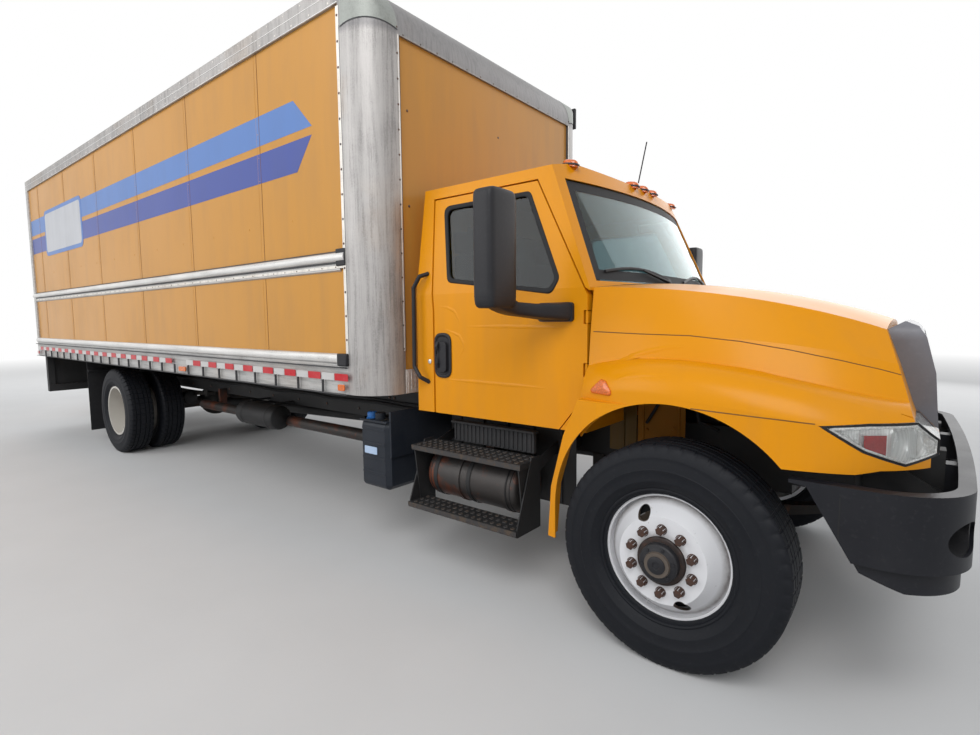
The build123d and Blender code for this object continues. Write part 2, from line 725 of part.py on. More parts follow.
# Grab handles on the rear corners of the cab.
handle_bar = 13
handle_path = [(-1600, 1190, -4), (-1632, 1225, 48), (-1680, 1290, 50), (-1680, 1790, 44),
               (-1640, 1860, 30), (-1610, 1880, -22)]   # setback, height, stand-off
grown_cab = cab_form(-seat_gap, -seat_gap, -seat_gap, -seat_gap)
with BuildPart() as cab_trim:
    for side in (-1, 1):
        points = [(front_axle_x + x, side * (cab_half + out), z) for x, z, out in handle_path]
        for start, end in zip(points, points[1:]):
            rod_between(start, end, handle_bar)
        for joint in points[1:-1]:
            with Locations(joint):
                Sphere(handle_bar)
    antenna_foot = (front_axle_x - 1040, 800, 2420)
    rod_between(antenna_foot, (front_axle_x - 1040, 800, 2475), 24)
    rod_between((front_axle_x - 1040, 800, 2460), (front_axle_x - 950, 850, 3000), 5)
    add(grown_cab, mode=Mode.SUBTRACT)
save(cab_trim, "cab_trim")


# Hood: one shell with both fenders, lofted through five cross-sections.
# setback from the front axle, then half widths and heights of the fender's lower edge,
# its brow, the crease, the shoulder and the crown
hood_sections = (
    # x, lip_y, brow_z, mid_y, mid_z, foot_y, foot_z, crease_y, crease_z, top_y, top_z, crown_z
    (-460, 1100, 1210, 1075, 1290, 1030, 1350, 1014, 1530, 985, 1745, 1800),
    (-150, 1190, 1240, 1155, 1345, 1050, 1400, 1008, 1525, 935, 1728, 1778),
    (250, 1190, 1225, 1150, 1320, 1030, 1375, 985, 1495, 872, 1672, 1716),
    (580, 1135, 1180, 1090, 1260, 975, 1310, 905, 1448, 775, 1590, 1630),
    (930, 830, 1150, 800, 1200, 745, 1235, 700, 1340, 620, 1440, 1480),
)


def hood_section(row, inset, bottom):
    """One closed cross-section of the hood, drawn in by the inset."""
    (_, lip_y, brow_z, mid_y, mid_z, foot_y, foot_z,
     crease_y, crease_z, top_y, top_z, crown_z) = row
    half = [(lip_y - inset, bottom), (lip_y - inset, brow_z - inset / 2),
            (foot_y - inset, foot_z - inset / 2), (crease_y - inset, crease_z),
            (top_y - inset, top_z - inset)]
    with BuildLine() as outline:
        for side in (-1, 1):
            p = [(side * y, z) for y, z in half]
            Line(p[0], p[1])
            ThreePointArc(p[1], (side * (mid_y - inset), mid_z - inset), p[2])
            Line(p[2], p[3])
            Line(p[3], p[4])
        left, right = half[4], (-half[4][0], half[4][1])
        ThreePointArc(right, (0, crown_z - inset), left)
        Line((-half[0][0], bottom), half[0])
    make_face(outline.edges())


def hood_form(inset, bottom):
    """The closed form of hood and fenders."""
    with BuildPart(mode=Mode.PRIVATE) as form:
        for row in hood_sections:
            with BuildSketch(Plane.YZ.offset(front_axle_x + row[0])):
                hood_section(row, inset, bottom)
        loft()
    return form.part


def from_axle(points):
    """Points (x, z) measured from the front axle, moved to the truck's frame."""
    return [(front_axle_x + x, z) for x, z in points]


hood_rear_setback = 452
hood_bow = 205                 # the hood's rear edge, further forward in the middle
wide = fender_half + 60
hood_outer = hood_form(0, fender_bottom_z)
hood_inner = hood_form(hood_wall, fender_bottom_z - 40)


def rear_arc_cut(corner_setback, half, bow, rear_setback, low_z, high_z, mode=Mode.SUBTRACT):
    """The block behind an arc across the truck."""
    with BuildSketch(Plane.XY.offset(low_z)) as plan:
        with BuildLine() as edge:
            corner = front_axle_x - corner_setback
            rear = front_axle_x - rear_setback
            ThreePointArc((corner, -half), (corner + bow, 0), (corner, half))
            Line((corner, half), (rear, half))
            Line((rear, half), (rear, -half))
            Line((rear, -half), (corner, -half))
        make_face(edge.edges())
    extrude(plan.sketch, amount=high_z - low_z, mode=mode)


lamp_outline = [(566, 1178), (720, 1192), (862, 1192), (930, 1120), (930, 1060), (830, 1028),
                (705, 1082)]
grille_rear = [(742, 1532), (791, 1390), (843, 1215), (905, 1052)]
strip_outline = [(-100, 1196), (-440, 1196), (-530, 1003), (-610, 725), (-630, 455),
                 (-560, 455), (-560, 633), (-100, 633)]
strip_inner = [(-90, 1186), (-434, 1186), (-520, 1000), (-600, 724), (-621, 445),
               (-550, 445), (-550, 633), (-90, 633)]
strip_depth = 140
grille_opening_half = 600
lamp_inner_y = 590


def strip_plan(inset, side):
    """The strip's outline from above, tapering in towards its rear."""
    outer = fender_half - inset
    points = [(-90, outer), (-330, outer), (-640, outer - 62), (-660, outer - 62),
              (-660, fender_half - strip_depth - inset), (-90, fender_half - strip_depth - inset)]
    return [(front_axle_x + x, side * y) for x, y in points]


front_cut = [(742, 1700)] + grille_rear + [(905, 900), (1100, 900), (1100, 1700)]
with BuildPart() as hood_shell:
    add(hood_outer)
    with BuildPart(mode=Mode.PRIVATE) as hollow:
        add(hood_inner)
        side_plate(from_axle([(x - hood_wall, z) for x, z in front_cut]), wide, -wide,
                   mode=Mode.SUBTRACT)
    add(hollow.part, mode=Mode.SUBTRACT)
    for side in (-1, 1):
        with BuildPart(mode=Mode.PRIVATE) as strip:
            for outline, inset, mode in ((strip_outline, 0, Mode.ADD),
                                         (strip_inner, 10, Mode.SUBTRACT)):
                with BuildPart(mode=Mode.PRIVATE) as slab:
                    side_plate(from_axle(outline), wide, -wide)
                    with BuildSketch(Plane.XY.offset(400)) as plan:
                        Polygon(*strip_plan(inset, side), align=None)
                    extrude(plan.sketch, amount=900, mode=Mode.INTERSECT)
                add(slab.part, mode=mode)
        add(strip.part)
    for side in (-1, 1):
        with BuildSketch(Plane.XZ.offset(-wide if side > 0 else 560)):
            with Locations((front_axle_x, arch_z)):
                Circle(arch_radius)
            with Locations((front_axle_x - arch_radius / 2 + 40, arch_z - 150)):
                Rectangle(arch_radius + 80, 300)
        extrude(amount=wide - 560, mode=Mode.SUBTRACT)
    box_between((front_axle_x - 470, -wide, 1197), (front_axle_x - hood_rear_setback, wide, 1900),
                mode=Mode.SUBTRACT)
    rear_arc_cut(hood_rear_setback, 985, hood_bow, 700, 1560, 1900)
    side_plate(from_axle(front_cut), wide, -wide, mode=Mode.SUBTRACT)
    front_prism([(-grille_opening_half + 70, 1040), (grille_opening_half - 70, 1040),
                 (grille_opening_half, 1500), (-grille_opening_half, 1500)],
                front_axle_x + 700, front_axle_x + 1000, mode=Mode.SUBTRACT)
    for side in (-1, 1):
        ys = sorted((side * (lamp_inner_y - seat_gap), side * wide))
        side_plate(from_axle(lamp_outline), ys[1], ys[0], mode=Mode.SUBTRACT)
    side_plate(from_axle([(640, 990), (760, 1016), (1000, 1016), (1000, 990)]), wide, -wide,
               mode=Mode.SUBTRACT)
    with BuildPart(mode=Mode.PRIVATE) as tie_bar:
        box_between((front_axle_x + 806, -wide, 1016), (front_axle_x + 878, wide, 1028))
    add(tie_bar.part & hood_outer)
    for side in (-1, 1):
        middle = side * hood_arm_y
        arm_path = from_axle([(905, 768), (742, 893), (742, 950), (822, 1048), (852, 1048),
                              (852, 1032), (789, 925), (958, 822), (966, 790), (935, 768)])
        side_plate(arm_path, middle + hood_arm_thickness / 2, middle - hood_arm_thickness / 2)
        rod_between((hood_hinge_x, middle - 30, hood_hinge_z),
                    (hood_hinge_x, middle + 30, hood_hinge_z),
                    hood_pin_radius + shaft_gap, mode=Mode.SUBTRACT)
save(hood_shell, "hood_shell")

cowl_thickness = 12
with BuildPart() as cowl:
    add(hood_outer)
    add(hood_form(cowl_thickness, fender_bottom_z - 40), mode=Mode.SUBTRACT)
    box_between((front_axle_x - 900, -wide, 900), (front_axle_x + 1000, wide, 1725),
                mode=Mode.SUBTRACT)
    rear_arc_cut(hood_rear_setback + 4, 985, hood_bow - 12, 700, 1600, 1900,
                 mode=Mode.INTERSECT)
    add(grown_cab, mode=Mode.SUBTRACT)
save(cowl, "cowl")

# Grille: a deep surround with level bars, standing ahead of the hood.
grille_profile = [(742, 1532), (800, 1566), (845, 1545), (873, 1500), (910, 1350), (926, 1150),
                  (934, 1062), (905, 1052), (843, 1215), (791, 1390)]
grille_top_half = 640
grille_bottom_half = 560
grille_low_z = 1050
grille_high_z = 1570
grille_rim = 62
bar_count = 7
bar_height = 26


def grille_face(inset, corner):
    """The grille's outline from the front, drawn in from its edge."""
    with BuildSketch(Plane.YZ.offset(front_axle_x + 700)) as face:
        Polygon((-grille_bottom_half + inset, grille_low_z + inset * 0.4),
                (grille_bottom_half - inset, grille_low_z + inset * 0.4),
                (grille_top_half - inset, grille_high_z - inset),
                (-grille_top_half + inset, grille_high_z - inset), align=None)
        fillet(face.vertices(), corner)
    return face.sketch


with BuildPart() as grille:
    side_plate(from_axle([(x + seat_gap, z) for x, z in grille_profile]),
               grille_top_half, -grille_top_half)
    extrude(grille_face(0, 70), amount=300, mode=Mode.INTERSECT)
    with BuildPart(mode=Mode.PRIVATE) as bars:
        add(grille.part)
        extrude(grille_face(grille_rim, 40), amount=300, mode=Mode.INTERSECT)
        side_plate(from_axle([(x - 22, z) for x, z in grille_profile[3:7]]
                             + [(880, 1000), (700, 1000), (700, 1600)]),
                   grille_top_half, -grille_top_half, mode=Mode.INTERSECT)
        pitch = (grille_high_z - grille_low_z - 2 * grille_rim) / bar_count
        with BuildPart(mode=Mode.PRIVATE) as slots:
            for number in range(bar_count):
                low = grille_low_z + grille_rim * 0.4 + number * pitch + 6
                box_between((front_axle_x + 700, -grille_top_half, low),
                            (front_axle_x + 1000, grille_top_half, low + pitch - bar_height))
        add(slots.part, mode=Mode.SUBTRACT)
    extrude(grille_face(grille_rim, 40), amount=300, mode=Mode.SUBTRACT)
    add(bars.part)
save(grille, "grille")

# Headlamps: clear lenses in the hood's surface, with bowls behind, and the side markers.
lens_thickness = 8
with BuildPart() as lamp_lenses:
    with BuildPart(mode=Mode.PRIVATE) as lens_skin:
        add(hood_outer)
        with BuildPart(mode=Mode.PRIVATE) as lens_core:
            add(hood_form(lens_thickness, fender_bottom_z - 40))
            side_plate(from_axle(front_cut), wide, -wide, mode=Mode.SUBTRACT)
        add(lens_core.part, mode=Mode.SUBTRACT)
    for side in (-1, 1):
        ys = sorted((side * lamp_inner_y, side * wide))
        with BuildPart(mode=Mode.PRIVATE) as lamp_prism:
            with BuildSketch(Plane.XZ.offset(-ys[1])) as lamp_sketch:
                Polygon(*from_axle(lamp_outline), align=None)
                offset(amount=-seat_gap)
            extrude(lamp_sketch.sketch, amount=ys[1] - ys[0])
        add(lens_skin.part & lamp_prism.part)
        with BuildPart(mode=Mode.PRIVATE) as marker:
            box_between((front_axle_x - 403, min(side * 1100, side * 1215), 1228),
                        (front_axle_x - 282, max(side * 1100, side * 1215), 1284))
            add(hood_form(-seat_gap, fender_bottom_z), mode=Mode.SUBTRACT)
            add(hood_form(-14, fender_bottom_z), mode=Mode.INTERSECT)
        add(marker.part)
save(lamp_lenses, "lamp_lenses")

bowl_depth = 70
with BuildPart() as headlamp_bowls:
    with BuildPart(mode=Mode.PRIVATE) as bowl_skin:
        add(hood_form(lens_thickness + seat_gap, fender_bottom_z - 40))
        side_plate(from_axle([(x - seat_gap, z) for x, z in front_cut]), wide, -wide,
                   mode=Mode.SUBTRACT)
        add(hood_form(bowl_depth, fender_bottom_z - 60), mode=Mode.SUBTRACT)
    for side in (-1, 1):
        ys = sorted((side * (lamp_inner_y + 4), side * wide))
        with BuildPart(mode=Mode.PRIVATE) as bowl_prism:
            with BuildSketch(Plane.XZ.offset(-ys[1])) as bowl_sketch:
                Polygon(*from_axle(lamp_outline), align=None)
                offset(amount=-1)
            extrude(bowl_sketch.sketch, amount=ys[1] - ys[0])
        add(bowl_skin.part & bowl_prism.part)
save(headlamp_bowls, "headlamp_bowls")

# What each door carries: a handle, and the mirror on its arm.
mirror_x = (front_axle_x - 805, front_axle_x - 685)
mirror_y = (1310, 1525)
mirror_z = (1640, 2190)
handle_x = (front_axle_x - 1529, front_axle_x - 1404)
for side, hand in ((-1, "right"), (1, "left")):
    def across(near, far, side=side):
        """Two distances from the middle, as sorted y values on this side."""
        return sorted((side * near, side * far))

    with BuildPart() as door_fittings:
        near, far = across(*mirror_y)
        box_between((mirror_x[0], near, mirror_z[0]), (mirror_x[1], far, mirror_z[1]))
        fillet(door_fittings.edges(), 38)
        near, far = across(cab_half + seat_gap, cab_half + 16)
        box_between((front_axle_x - 600, near, 1572), (front_axle_x - 525, far, 1665))
        elbow = (front_axle_x - 640, side * 1180, 1625)
        rod_between((front_axle_x - 563, side * (cab_half + 15), 1618), elbow, 22)
        rod_between(elbow, ((mirror_x[0] + mirror_x[1]) / 2, side * 1345, 1680), 22)
        with Locations(elbow):
            Sphere(22)
        near, far = across(cab_half + seat_gap, cab_half + 9)
        box_between((handle_x[0], near, 1232), (handle_x[1], far, 1500))
        near, far = across(cab_half + 5, cab_half + 46)
        box_between((handle_x[0] + 40, near, 1262), (handle_x[0] + 85, far, 1470))
        near, far = across(cab_half, cab_half + 30)
        box_between((handle_x[0] + 30, near, 1292), (handle_x[0] + 95, far, 1440),
                    mode=Mode.SUBTRACT)
    save(door_fittings, f"door_fittings_{hand}")

# Roof markers and rear lamps.
marker_rows = [(-600, -150), (-600, 0), (-600, 150), (-700, -780), (-700, 780)]
frame_lamps = [(0, 3590), (-160, 3590), (160, 3590), (-1190, 3590), (1190, 3590)]
stop_lamps = [(-1215, 1330), (1215, 1330), (-1215, 1480), (1215, 1480)]
with BuildPart() as marker_lamps:
    for setback, y in marker_rows:
        with Locations((front_axle_x + setback - 25, y, cab_roof_z - 60 - abs(y) * 0.07)):
            Box(90, 120, 120)
    add(grown_cab, mode=Mode.SUBTRACT)
    add(cab_form(-26, -26, -26, -26), mode=Mode.INTERSECT)
    for y, z in frame_lamps:
        rod_between((box_rear_x, y, z), (rear_face_x - seat_gap, y, z), 30)
    for y, z in stop_lamps:
        rod_between((box_rear_x, y, z), (rear_face_x - seat_gap, y, z), 52)
save(marker_lamps, "marker_lamps")


# Wheels. Ring outlines are (radius, y) points, spun about the axle.
def ring(points, axle_x, side, mode=Mode.ADD):
    """A turned ring round the axle on one side of the truck."""
    with BuildSketch(Plane((axle_x, 0, axle_z))) as outline:
        Polygon(*[(radius, side * y) for radius, y in points], align=None)
    revolve(outline.sketch, axis=Axis((axle_x, 0, axle_z), (0, 1, 0)), mode=mode)


def tyre_ring(middle, axle_x, side):
    """One tyre with its middle at a given distance from the truck's middle."""
    half = tyre_width / 2
    bead = rim_half_width - rim_wall + 2 - seat_gap
    profile = [(bead_radius, bead), (rim_flange_radius + 1, bead), (335, half - 9),
               (tyre_radius - 115, half), (tyre_radius - 45, half - 8),
               (tyre_radius - 14, tread_width / 2 + 10), (tyre_radius, tread_width / 2 - 4)]
    mirrored = [(radius, -y) for radius, y in reversed(profile)]
    ring([(radius, middle + y) for radius, y in profile + mirrored], axle_x, side)


def rim_rings(middle, disc_side, axle_x, side):
    """A rim's barrel with its flanges, and the disc dished to one side."""
    barrel = bead_radius - seat_gap
    edge = rim_half_width - rim_wall + 2
    outer = [(rim_flange_radius, rim_half_width), (rim_flange_radius, edge), (barrel, edge)]
    outline = outer + [(radius, -y) for radius, y in reversed(outer)]
    outline += [(barrel - rim_wall, -rim_half_width), (barrel - rim_wall, rim_half_width)]
    ring([(radius, middle + y) for radius, y in outline], axle_x, side)
    face = disc_outset
    back = disc_outset - disc_thickness
    disc = [(barrel - 4, 66), (258, 92), (198, face), (wheel_bore_radius, face),
            (wheel_bore_radius, back), (190, back), (247, 84), (barrel - 4, 50)]
    ring([(radius, middle + disc_side * y) for radius, y in disc], axle_x, side)


def hand_holes(axle_x, side, near, far):
    """The round openings through a disc."""
    for number in range(hand_hole_count):
        angle = radians(hand_hole_turn + 360 / hand_hole_count * number)
        x = axle_x + hand_hole_circle * cos(angle)
        z = axle_z + hand_hole_circle * sin(angle)
        rod_between((x, side * near, z), (x, side * far, z), hand_hole_radius,
                    mode=Mode.SUBTRACT)


def lug_nuts(axle_x, side, seat_y):
    """The ring of nuts on a disc."""
    for number in range(stud_count):
        angle = radians(360 / stud_count * (number + 0.5))
        x = axle_x + stud_circle_radius * cos(angle)
        z = axle_z + stud_circle_radius * sin(angle)
        with BuildSketch(Plane(origin=(x, side * (seat_y - 2), z), z_dir=(0, side, 0))) as nut:
            RegularPolygon(lug_radius, 6)
        extrude(nut.sketch, amount=lug_length + 2)


front_face_y = front_track_half + disc_outset
spindle_radius = 40
spindle_end_y = 1150
drum_radius = 205
drum_wall = 18
front_drum_near_y = 966
rear_bolt_y = rear_outer_half - disc_outset
rear_inner_middle = rear_outer_half - dual_spacing
rear_hub_end_y = 1040
for side, hand in ((-1, "right"), (1, "left")):
    with BuildPart() as front_tyre:
        tyre_ring(front_track_half, front_axle_x, side)
    save(front_tyre, f"front_tyre_{hand}")

    with BuildPart() as front_rim:
        rim_rings(front_track_half, 1, front_axle_x, side)
        hand_holes(front_axle_x, side, front_track_half + 20, front_face_y + 10)
        flange_y = front_face_y - disc_thickness
        hub = [(spindle_radius + shaft_gap, front_drum_near_y), (82, front_drum_near_y),
               (82, 1098), (drum_radius - drum_wall, 1098),
               (drum_radius - drum_wall, front_drum_near_y), (drum_radius, front_drum_near_y),
               (drum_radius, 1110), (95, 1110), (95, flange_y - 22), (178, flange_y - 22),
               (178, flange_y + 0.5), (wheel_bore_radius - 6, flange_y + 0.5),
               (wheel_bore_radius - 6, front_face_y + 4), (86, front_face_y + 12),
               (84, front_face_y + 40), (60, front_face_y + 46), (55, front_face_y + 60),
               (0, front_face_y + 60), (0, spindle_end_y + 3),
               (spindle_radius + shaft_gap, spindle_end_y + 3)]
        ring(hub, front_axle_x, side)
        lug_nuts(front_axle_x, side, front_face_y)
    save(front_rim, f"front_rim_{hand}")

    with BuildPart() as rear_tyres:
        tyre_ring(rear_outer_half, rear_axle_x, side)
        tyre_ring(rear_inner_middle, rear_axle_x, side)
    save(rear_tyres, f"rear_tyres_{hand}")

    with BuildPart() as rear_rims:
        rim_rings(rear_outer_half, -1, rear_axle_x, side)
        rim_rings(rear_inner_middle, 1, rear_axle_x, side)
        hand_holes(rear_axle_x, side, rear_inner_middle + 20, rear_outer_half - 20)
        tube_bore = rear_tube_radius + shaft_gap
        web_y = rear_inner_middle + disc_outset - disc_thickness
        hub = [(tube_bore, 705), (112, 705), (112, web_y - 18),
               (drum_radius - drum_wall, web_y - 18), (drum_radius - drum_wall, 655),
               (drum_radius, 655), (drum_radius, web_y + 0.5), (wheel_bore_radius - 1, web_y + 0.5),
               (wheel_bore_radius - 1, rear_bolt_y - disc_thickness - 0.5), (182, rear_bolt_y - 12.5),
               (182, rear_bolt_y + 0.5), (wheel_bore_radius + 2, rear_bolt_y + 0.5),
               (104, rear_bolt_y + 90), (100, rear_hub_end_y - 20), (76, rear_hub_end_y),
               (0, rear_hub_end_y), (0, rear_tube_half + 3), (tube_bore, rear_tube_half + 3)]
        ring(hub, rear_axle_x, side)
        lug_nuts(rear_axle_x, side, rear_bolt_y + disc_thickness)
    save(rear_rims, f"rear_rims_{hand}")

# Steering knuckles and the rod that ties them.
fork_radius = 48
knuckle_plate_y = (930, 960)
ball_x = front_axle_x - tie_rod_setback
ball_y = kingpin_half             # straight behind the kingpin, so the linkage stays true
ball_z = 450
beam_low_z = axle_z - beam_eye_height / 2
beam_high_z = axle_z + beam_eye_height / 2
for side, hand in ((-1, "right"), (1, "left")):
    with BuildPart() as knuckle:
        for low, high in ((beam_low_z - fork_thickness, beam_low_z - seat_gap),
                          (beam_high_z + seat_gap, beam_high_z + fork_thickness)):
            rod_between((front_axle_x, side * kingpin_half, low),
                        (front_axle_x, side * kingpin_half, high), fork_radius)
            ys = sorted((side * kingpin_half, side * knuckle_plate_y[1]))
            box_between((front_axle_x - fork_radius, ys[0], low), (front_axle_x + fork_radius, ys[1], high))
        rod_between((front_axle_x, side * kingpin_half, beam_low_z - fork_thickness),
                    (front_axle_x, side * kingpin_half, beam_high_z + fork_thickness),
                    kingpin_radius)
        ys = sorted((side * knuckle_plate_y[0], side * knuckle_plate_y[1]))
        box_between((front_axle_x - 62, ys[0], beam_low_z - fork_thickness),
                    (front_axle_x + 62, ys[1], beam_high_z + fork_thickness))
        rod_between((front_axle_x, side * knuckle_plate_y[0], axle_z),
                    (front_axle_x, side * spindle_end_y, axle_z), spindle_radius)
        arm_z = (ball_z - 16, ball_z + 4)
        with BuildSketch(Plane.XY.offset(arm_z[0])) as arm:
            Polygon((front_axle_x - 20, side * (kingpin_half - 30)),
                    (front_axle_x - 20, side * (kingpin_half + 40)),
                    (ball_x - 26, side * (ball_y + 26)), (ball_x - 26, side * (ball_y - 26)),
                    (ball_x + 26, side * (ball_y - 26)), align=None)
        extrude(arm.sketch, amount=arm_z[1] - arm_z[0])
        rod_between((ball_x, side * ball_y, arm_z[0]), (ball_x, side * ball_y, arm_z[1] + 52), 11)
    save(knuckle, f"knuckle_{hand}")

rod_z = ball_z + 34
with BuildPart() as tie_rod:
    rod_between((ball_x, -ball_y + 30, rod_z), (ball_x, ball_y - 30, rod_z), tie_rod_radius)
    for side in (-1, 1):
        rod_between((ball_x, side * ball_y, rod_z - 18), (ball_x, side * ball_y, rod_z + 10), 32)
    for side, gap in ((-1, shaft_gap + 6), (1, shaft_gap)):
        rod_between((ball_x, side * ball_y, rod_z - 60), (ball_x, side * ball_y, rod_z + 60),
                    11 + gap, mode=Mode.SUBTRACT)
save(tie_rod, "tie_rod")


# Box body
wall_outer = box_half - rail_proud
wall_inner = wall_outer - wall_thickness
post_skin = rail_proud - seat_gap
frame_front_x = rear_face_x + rear_frame_depth
board_z = box_floor_z - 30
cross_sill_z = board_z - 100
roof_top_z = box_top_z - rail_proud
roof_thickness = 20
post_rear_x = box_front_x - post_radius
header_rear_x = box_front_x - header_radius
lap = 40


def box_form(inset):
    """The front of the box, rounded at its posts and its header, drawn in by the inset."""
    with BuildPart(mode=Mode.PRIVATE) as form:
        front = box_front_x - inset
        half = box_half - inset
        top = box_top_z - inset
        rear = header_rear_x - lap - inset
        low = box_bottom_z - inset
        box_between((rear, -half, low), (front, half, top))
        fillet(form.edges().filter_by(Axis.Z).group_by(Axis.X)[-1], post_radius - inset)
        with BuildSketch(Plane.XZ.offset(-half - 1)) as outline:
            with BuildLine() as line:
                radius = header_radius - inset
                turn = radius * (1 - cos(radians(45)))
                Line((rear, low), (front, low))
                Line((front, low), (front, top - radius))
                ThreePointArc((front, top - radius), (front - turn, top - turn),
                              (front - radius, top))
                Line((front - radius, top), (rear, top))
                Line((rear, top), (rear, low))
            make_face(line.edges())
        extrude(outline.sketch, amount=2 * half + 2, mode=Mode.INTERSECT)
    return form.part


with BuildPart() as box_floor:
    floor_front_x = box_front_x - rail_proud - 24
    box_between((frame_front_x + seat_gap, -wall_inner + seat_gap, board_z),
                (floor_front_x, wall_inner - seat_gap, box_floor_z))
    sill_count = 13
    for number in range(sill_count):
        x = frame_front_x + 60 + number * (floor_front_x - frame_front_x - 120) / (sill_count - 1)
        box_between((x - 22, -wall_inner + seat_gap, cross_sill_z),
                    (x + 22, wall_inner - seat_gap, board_z))
    for side in (-1, 1):
        ys = sorted((side * (rail_half - rail_flange), side * rail_half))
        box_between((rail_rear_x, ys[0], rail_top_z + seat_gap),
                    (floor_front_x, ys[1], cross_sill_z + 1))
    with BuildPart(mode=Mode.PRIVATE) as corners:
        box_between((post_rear_x, -box_half, box_bottom_z), (box_front_x, box_half, box_floor_z + 5))
        add(box_form(rail_proud), mode=Mode.SUBTRACT)
    add(corners.part, mode=Mode.SUBTRACT)
save(box_floor, "box_floor")

front_opening_half = box_half - post_radius - 25
front_opening_top_z = box_top_z - header_radius - 25
with BuildPart() as box_walls:
    for side in (-1, 1):
        ys = sorted((side * wall_inner, side * wall_outer))
        box_between((frame_front_x + seat_gap, ys[0], box_floor_z),
                    (post_rear_x, ys[1], roof_top_z - roof_thickness - seat_gap))
    front_x = box_front_x - rail_proud
    box_between((front_x - 20, -front_opening_half - 24, box_bottom_z + 20),
                (front_x, front_opening_half + 24, front_opening_top_z + 24))
save(box_walls, "box_walls")

with BuildPart() as box_roof:
    box_between((frame_front_x + seat_gap, -wall_outer, roof_top_z - roof_thickness),
                (header_rear_x, wall_outer, roof_top_z))
save(box_roof, "box_roof")


with BuildPart() as box_frame:
    add(box_form(0))
    add(box_form(post_skin), mode=Mode.SUBTRACT)
    box_between((header_rear_x - lap - 5, -box_half - 5, box_bottom_z - 5),
                (post_rear_x - lap, box_half + 5, top_rail_z), mode=Mode.SUBTRACT)
    box_between((box_front_x - 200, -front_opening_half, box_floor_z),
                (box_front_x + 5, front_opening_half, front_opening_top_z), mode=Mode.SUBTRACT)
    for side in (-1, 1):
        with BuildSketch(Plane.YZ.offset(frame_front_x + seat_gap)) as angle:
            Polygon((side * box_half, top_rail_z), (side * box_half, box_top_z),
                    (side * (box_half - 90), box_top_z), (side * (box_half - 90), roof_top_z + seat_gap),
                    (side * (wall_outer + seat_gap), roof_top_z + seat_gap),
                    (side * (wall_outer + seat_gap), top_rail_z), align=None)
        extrude(angle.sketch, amount=header_rear_x - lap - frame_front_x - 2 * seat_gap)
save(box_frame, "box_frame")

rail_end_x = post_rear_x - lap - seat_gap
with BuildPart() as box_rub_rails:
    for side in (-1, 1):
        with BuildSketch(Plane.YZ.offset(frame_front_x + seat_gap)) as section:
            Polygon((side * box_half, box_bottom_z), (side * box_half, 1318),
                    (side * (box_half - 5), 1326), (side * (box_half - 5), lower_rub_top_z),
                    (side * (wall_outer + seat_gap), lower_rub_top_z),
                    (side * (wall_outer + seat_gap), box_floor_z - seat_gap),
                    (side * (wall_inner + 1), box_floor_z - seat_gap),
                    (side * (wall_inner + 1), box_bottom_z), align=None)
        extrude(section.sketch, amount=rail_end_x - frame_front_x - seat_gap)
        with BuildSketch(Plane.YZ.offset(frame_front_x + seat_gap)) as rub:
            Polygon((side * (wall_outer + seat_gap), mid_rub_low_z),
                    (side * (box_half - 4), mid_rub_low_z + 8), (side * (box_half - 4), mid_rub_low_z + 30),
                    (side * (box_half - 10), mid_rub_low_z + 40),
                    (side * (box_half - 10), mid_rub_high_z - 40),
                    (side * (box_half - 4), mid_rub_high_z - 30), (side * (box_half - 4), mid_rub_high_z - 8),
                    (side * (wall_outer + seat_gap), mid_rub_high_z), align=None)
        extrude(rub.sketch, amount=rail_end_x - frame_front_x - 60)
save(box_rub_rails, "box_rub_rails")

with BuildPart() as rear_frame:
    box_between((rear_face_x, -box_half, box_bottom_z), (frame_front_x, box_half, box_top_z))
    box_between((rear_face_x - 5, -rear_opening_half, box_floor_z),
                (frame_front_x + 5, rear_opening_half, rear_opening_top_z), mode=Mode.SUBTRACT)
save(rear_frame, "rear_frame")

door_panel_count = 5
with BuildPart() as rollup_door:
    door_low_z = box_floor_z + seat_gap
    door_high_z = rear_opening_top_z - seat_gap
    box_between((rear_face_x + 40, -rear_opening_half + seat_gap, door_low_z),
                (rear_face_x + 65, rear_opening_half - seat_gap, door_high_z))
    panel = (door_high_z - door_low_z) / door_panel_count
    for number in range(1, door_panel_count):
        z = door_low_z + number * panel
        box_between((rear_face_x + 38, -rear_opening_half, z - 4),
                    (rear_face_x + 46, rear_opening_half, z + 4), mode=Mode.SUBTRACT)
    box_between((rear_face_x + 18, -90, door_low_z + 70), (rear_face_x + 42, 90, door_low_z + 150))
save(rollup_door, "rollup_door")

# Rear bumper and mud flaps
bumper_rear_x = rear_face_x + 15
rear_bumper_low_z = 540
with BuildPart() as rear_bumper:
    box_between((bumper_rear_x, -1220, rear_bumper_low_z), (bumper_rear_x + 100, 1220, 640))
    box_between((bumper_rear_x + 40, -1200, 640), (bumper_rear_x + 46, 1200, box_bottom_z - seat_gap))
    for near, far in ((1140, 1220), (rail_half - 80, rail_half)):
        for side in (-1, 1):
            ys = sorted((side * near, side * far))
            box_between((bumper_rear_x, ys[0], 630), (bumper_rear_x + 90, ys[1], box_bottom_z - seat_gap))
    for side in (-1, 1):
        ys = sorted((side * (rail_half - 70), side * (rail_half - rail_wall - 1)))
        box_between((bumper_rear_x + 50, ys[0], 780), (rail_rear_x - seat_gap, ys[1], 960))
save(rear_bumper, "rear_bumper")

flap_x = front_axle_x - 7600
with BuildPart() as mud_flaps:
    for side in (-1, 1):
        ys = sorted((side * 640, side * 1250))
        box_between((flap_x - 8, ys[0], 185), (flap_x, ys[1], 1080))
        rod_between((flap_x + 10, side * (rail_half + seat_gap), 965),
                    (flap_x + 10, side * 1245, 965), 16)
save(mud_flaps, "mud_flaps")
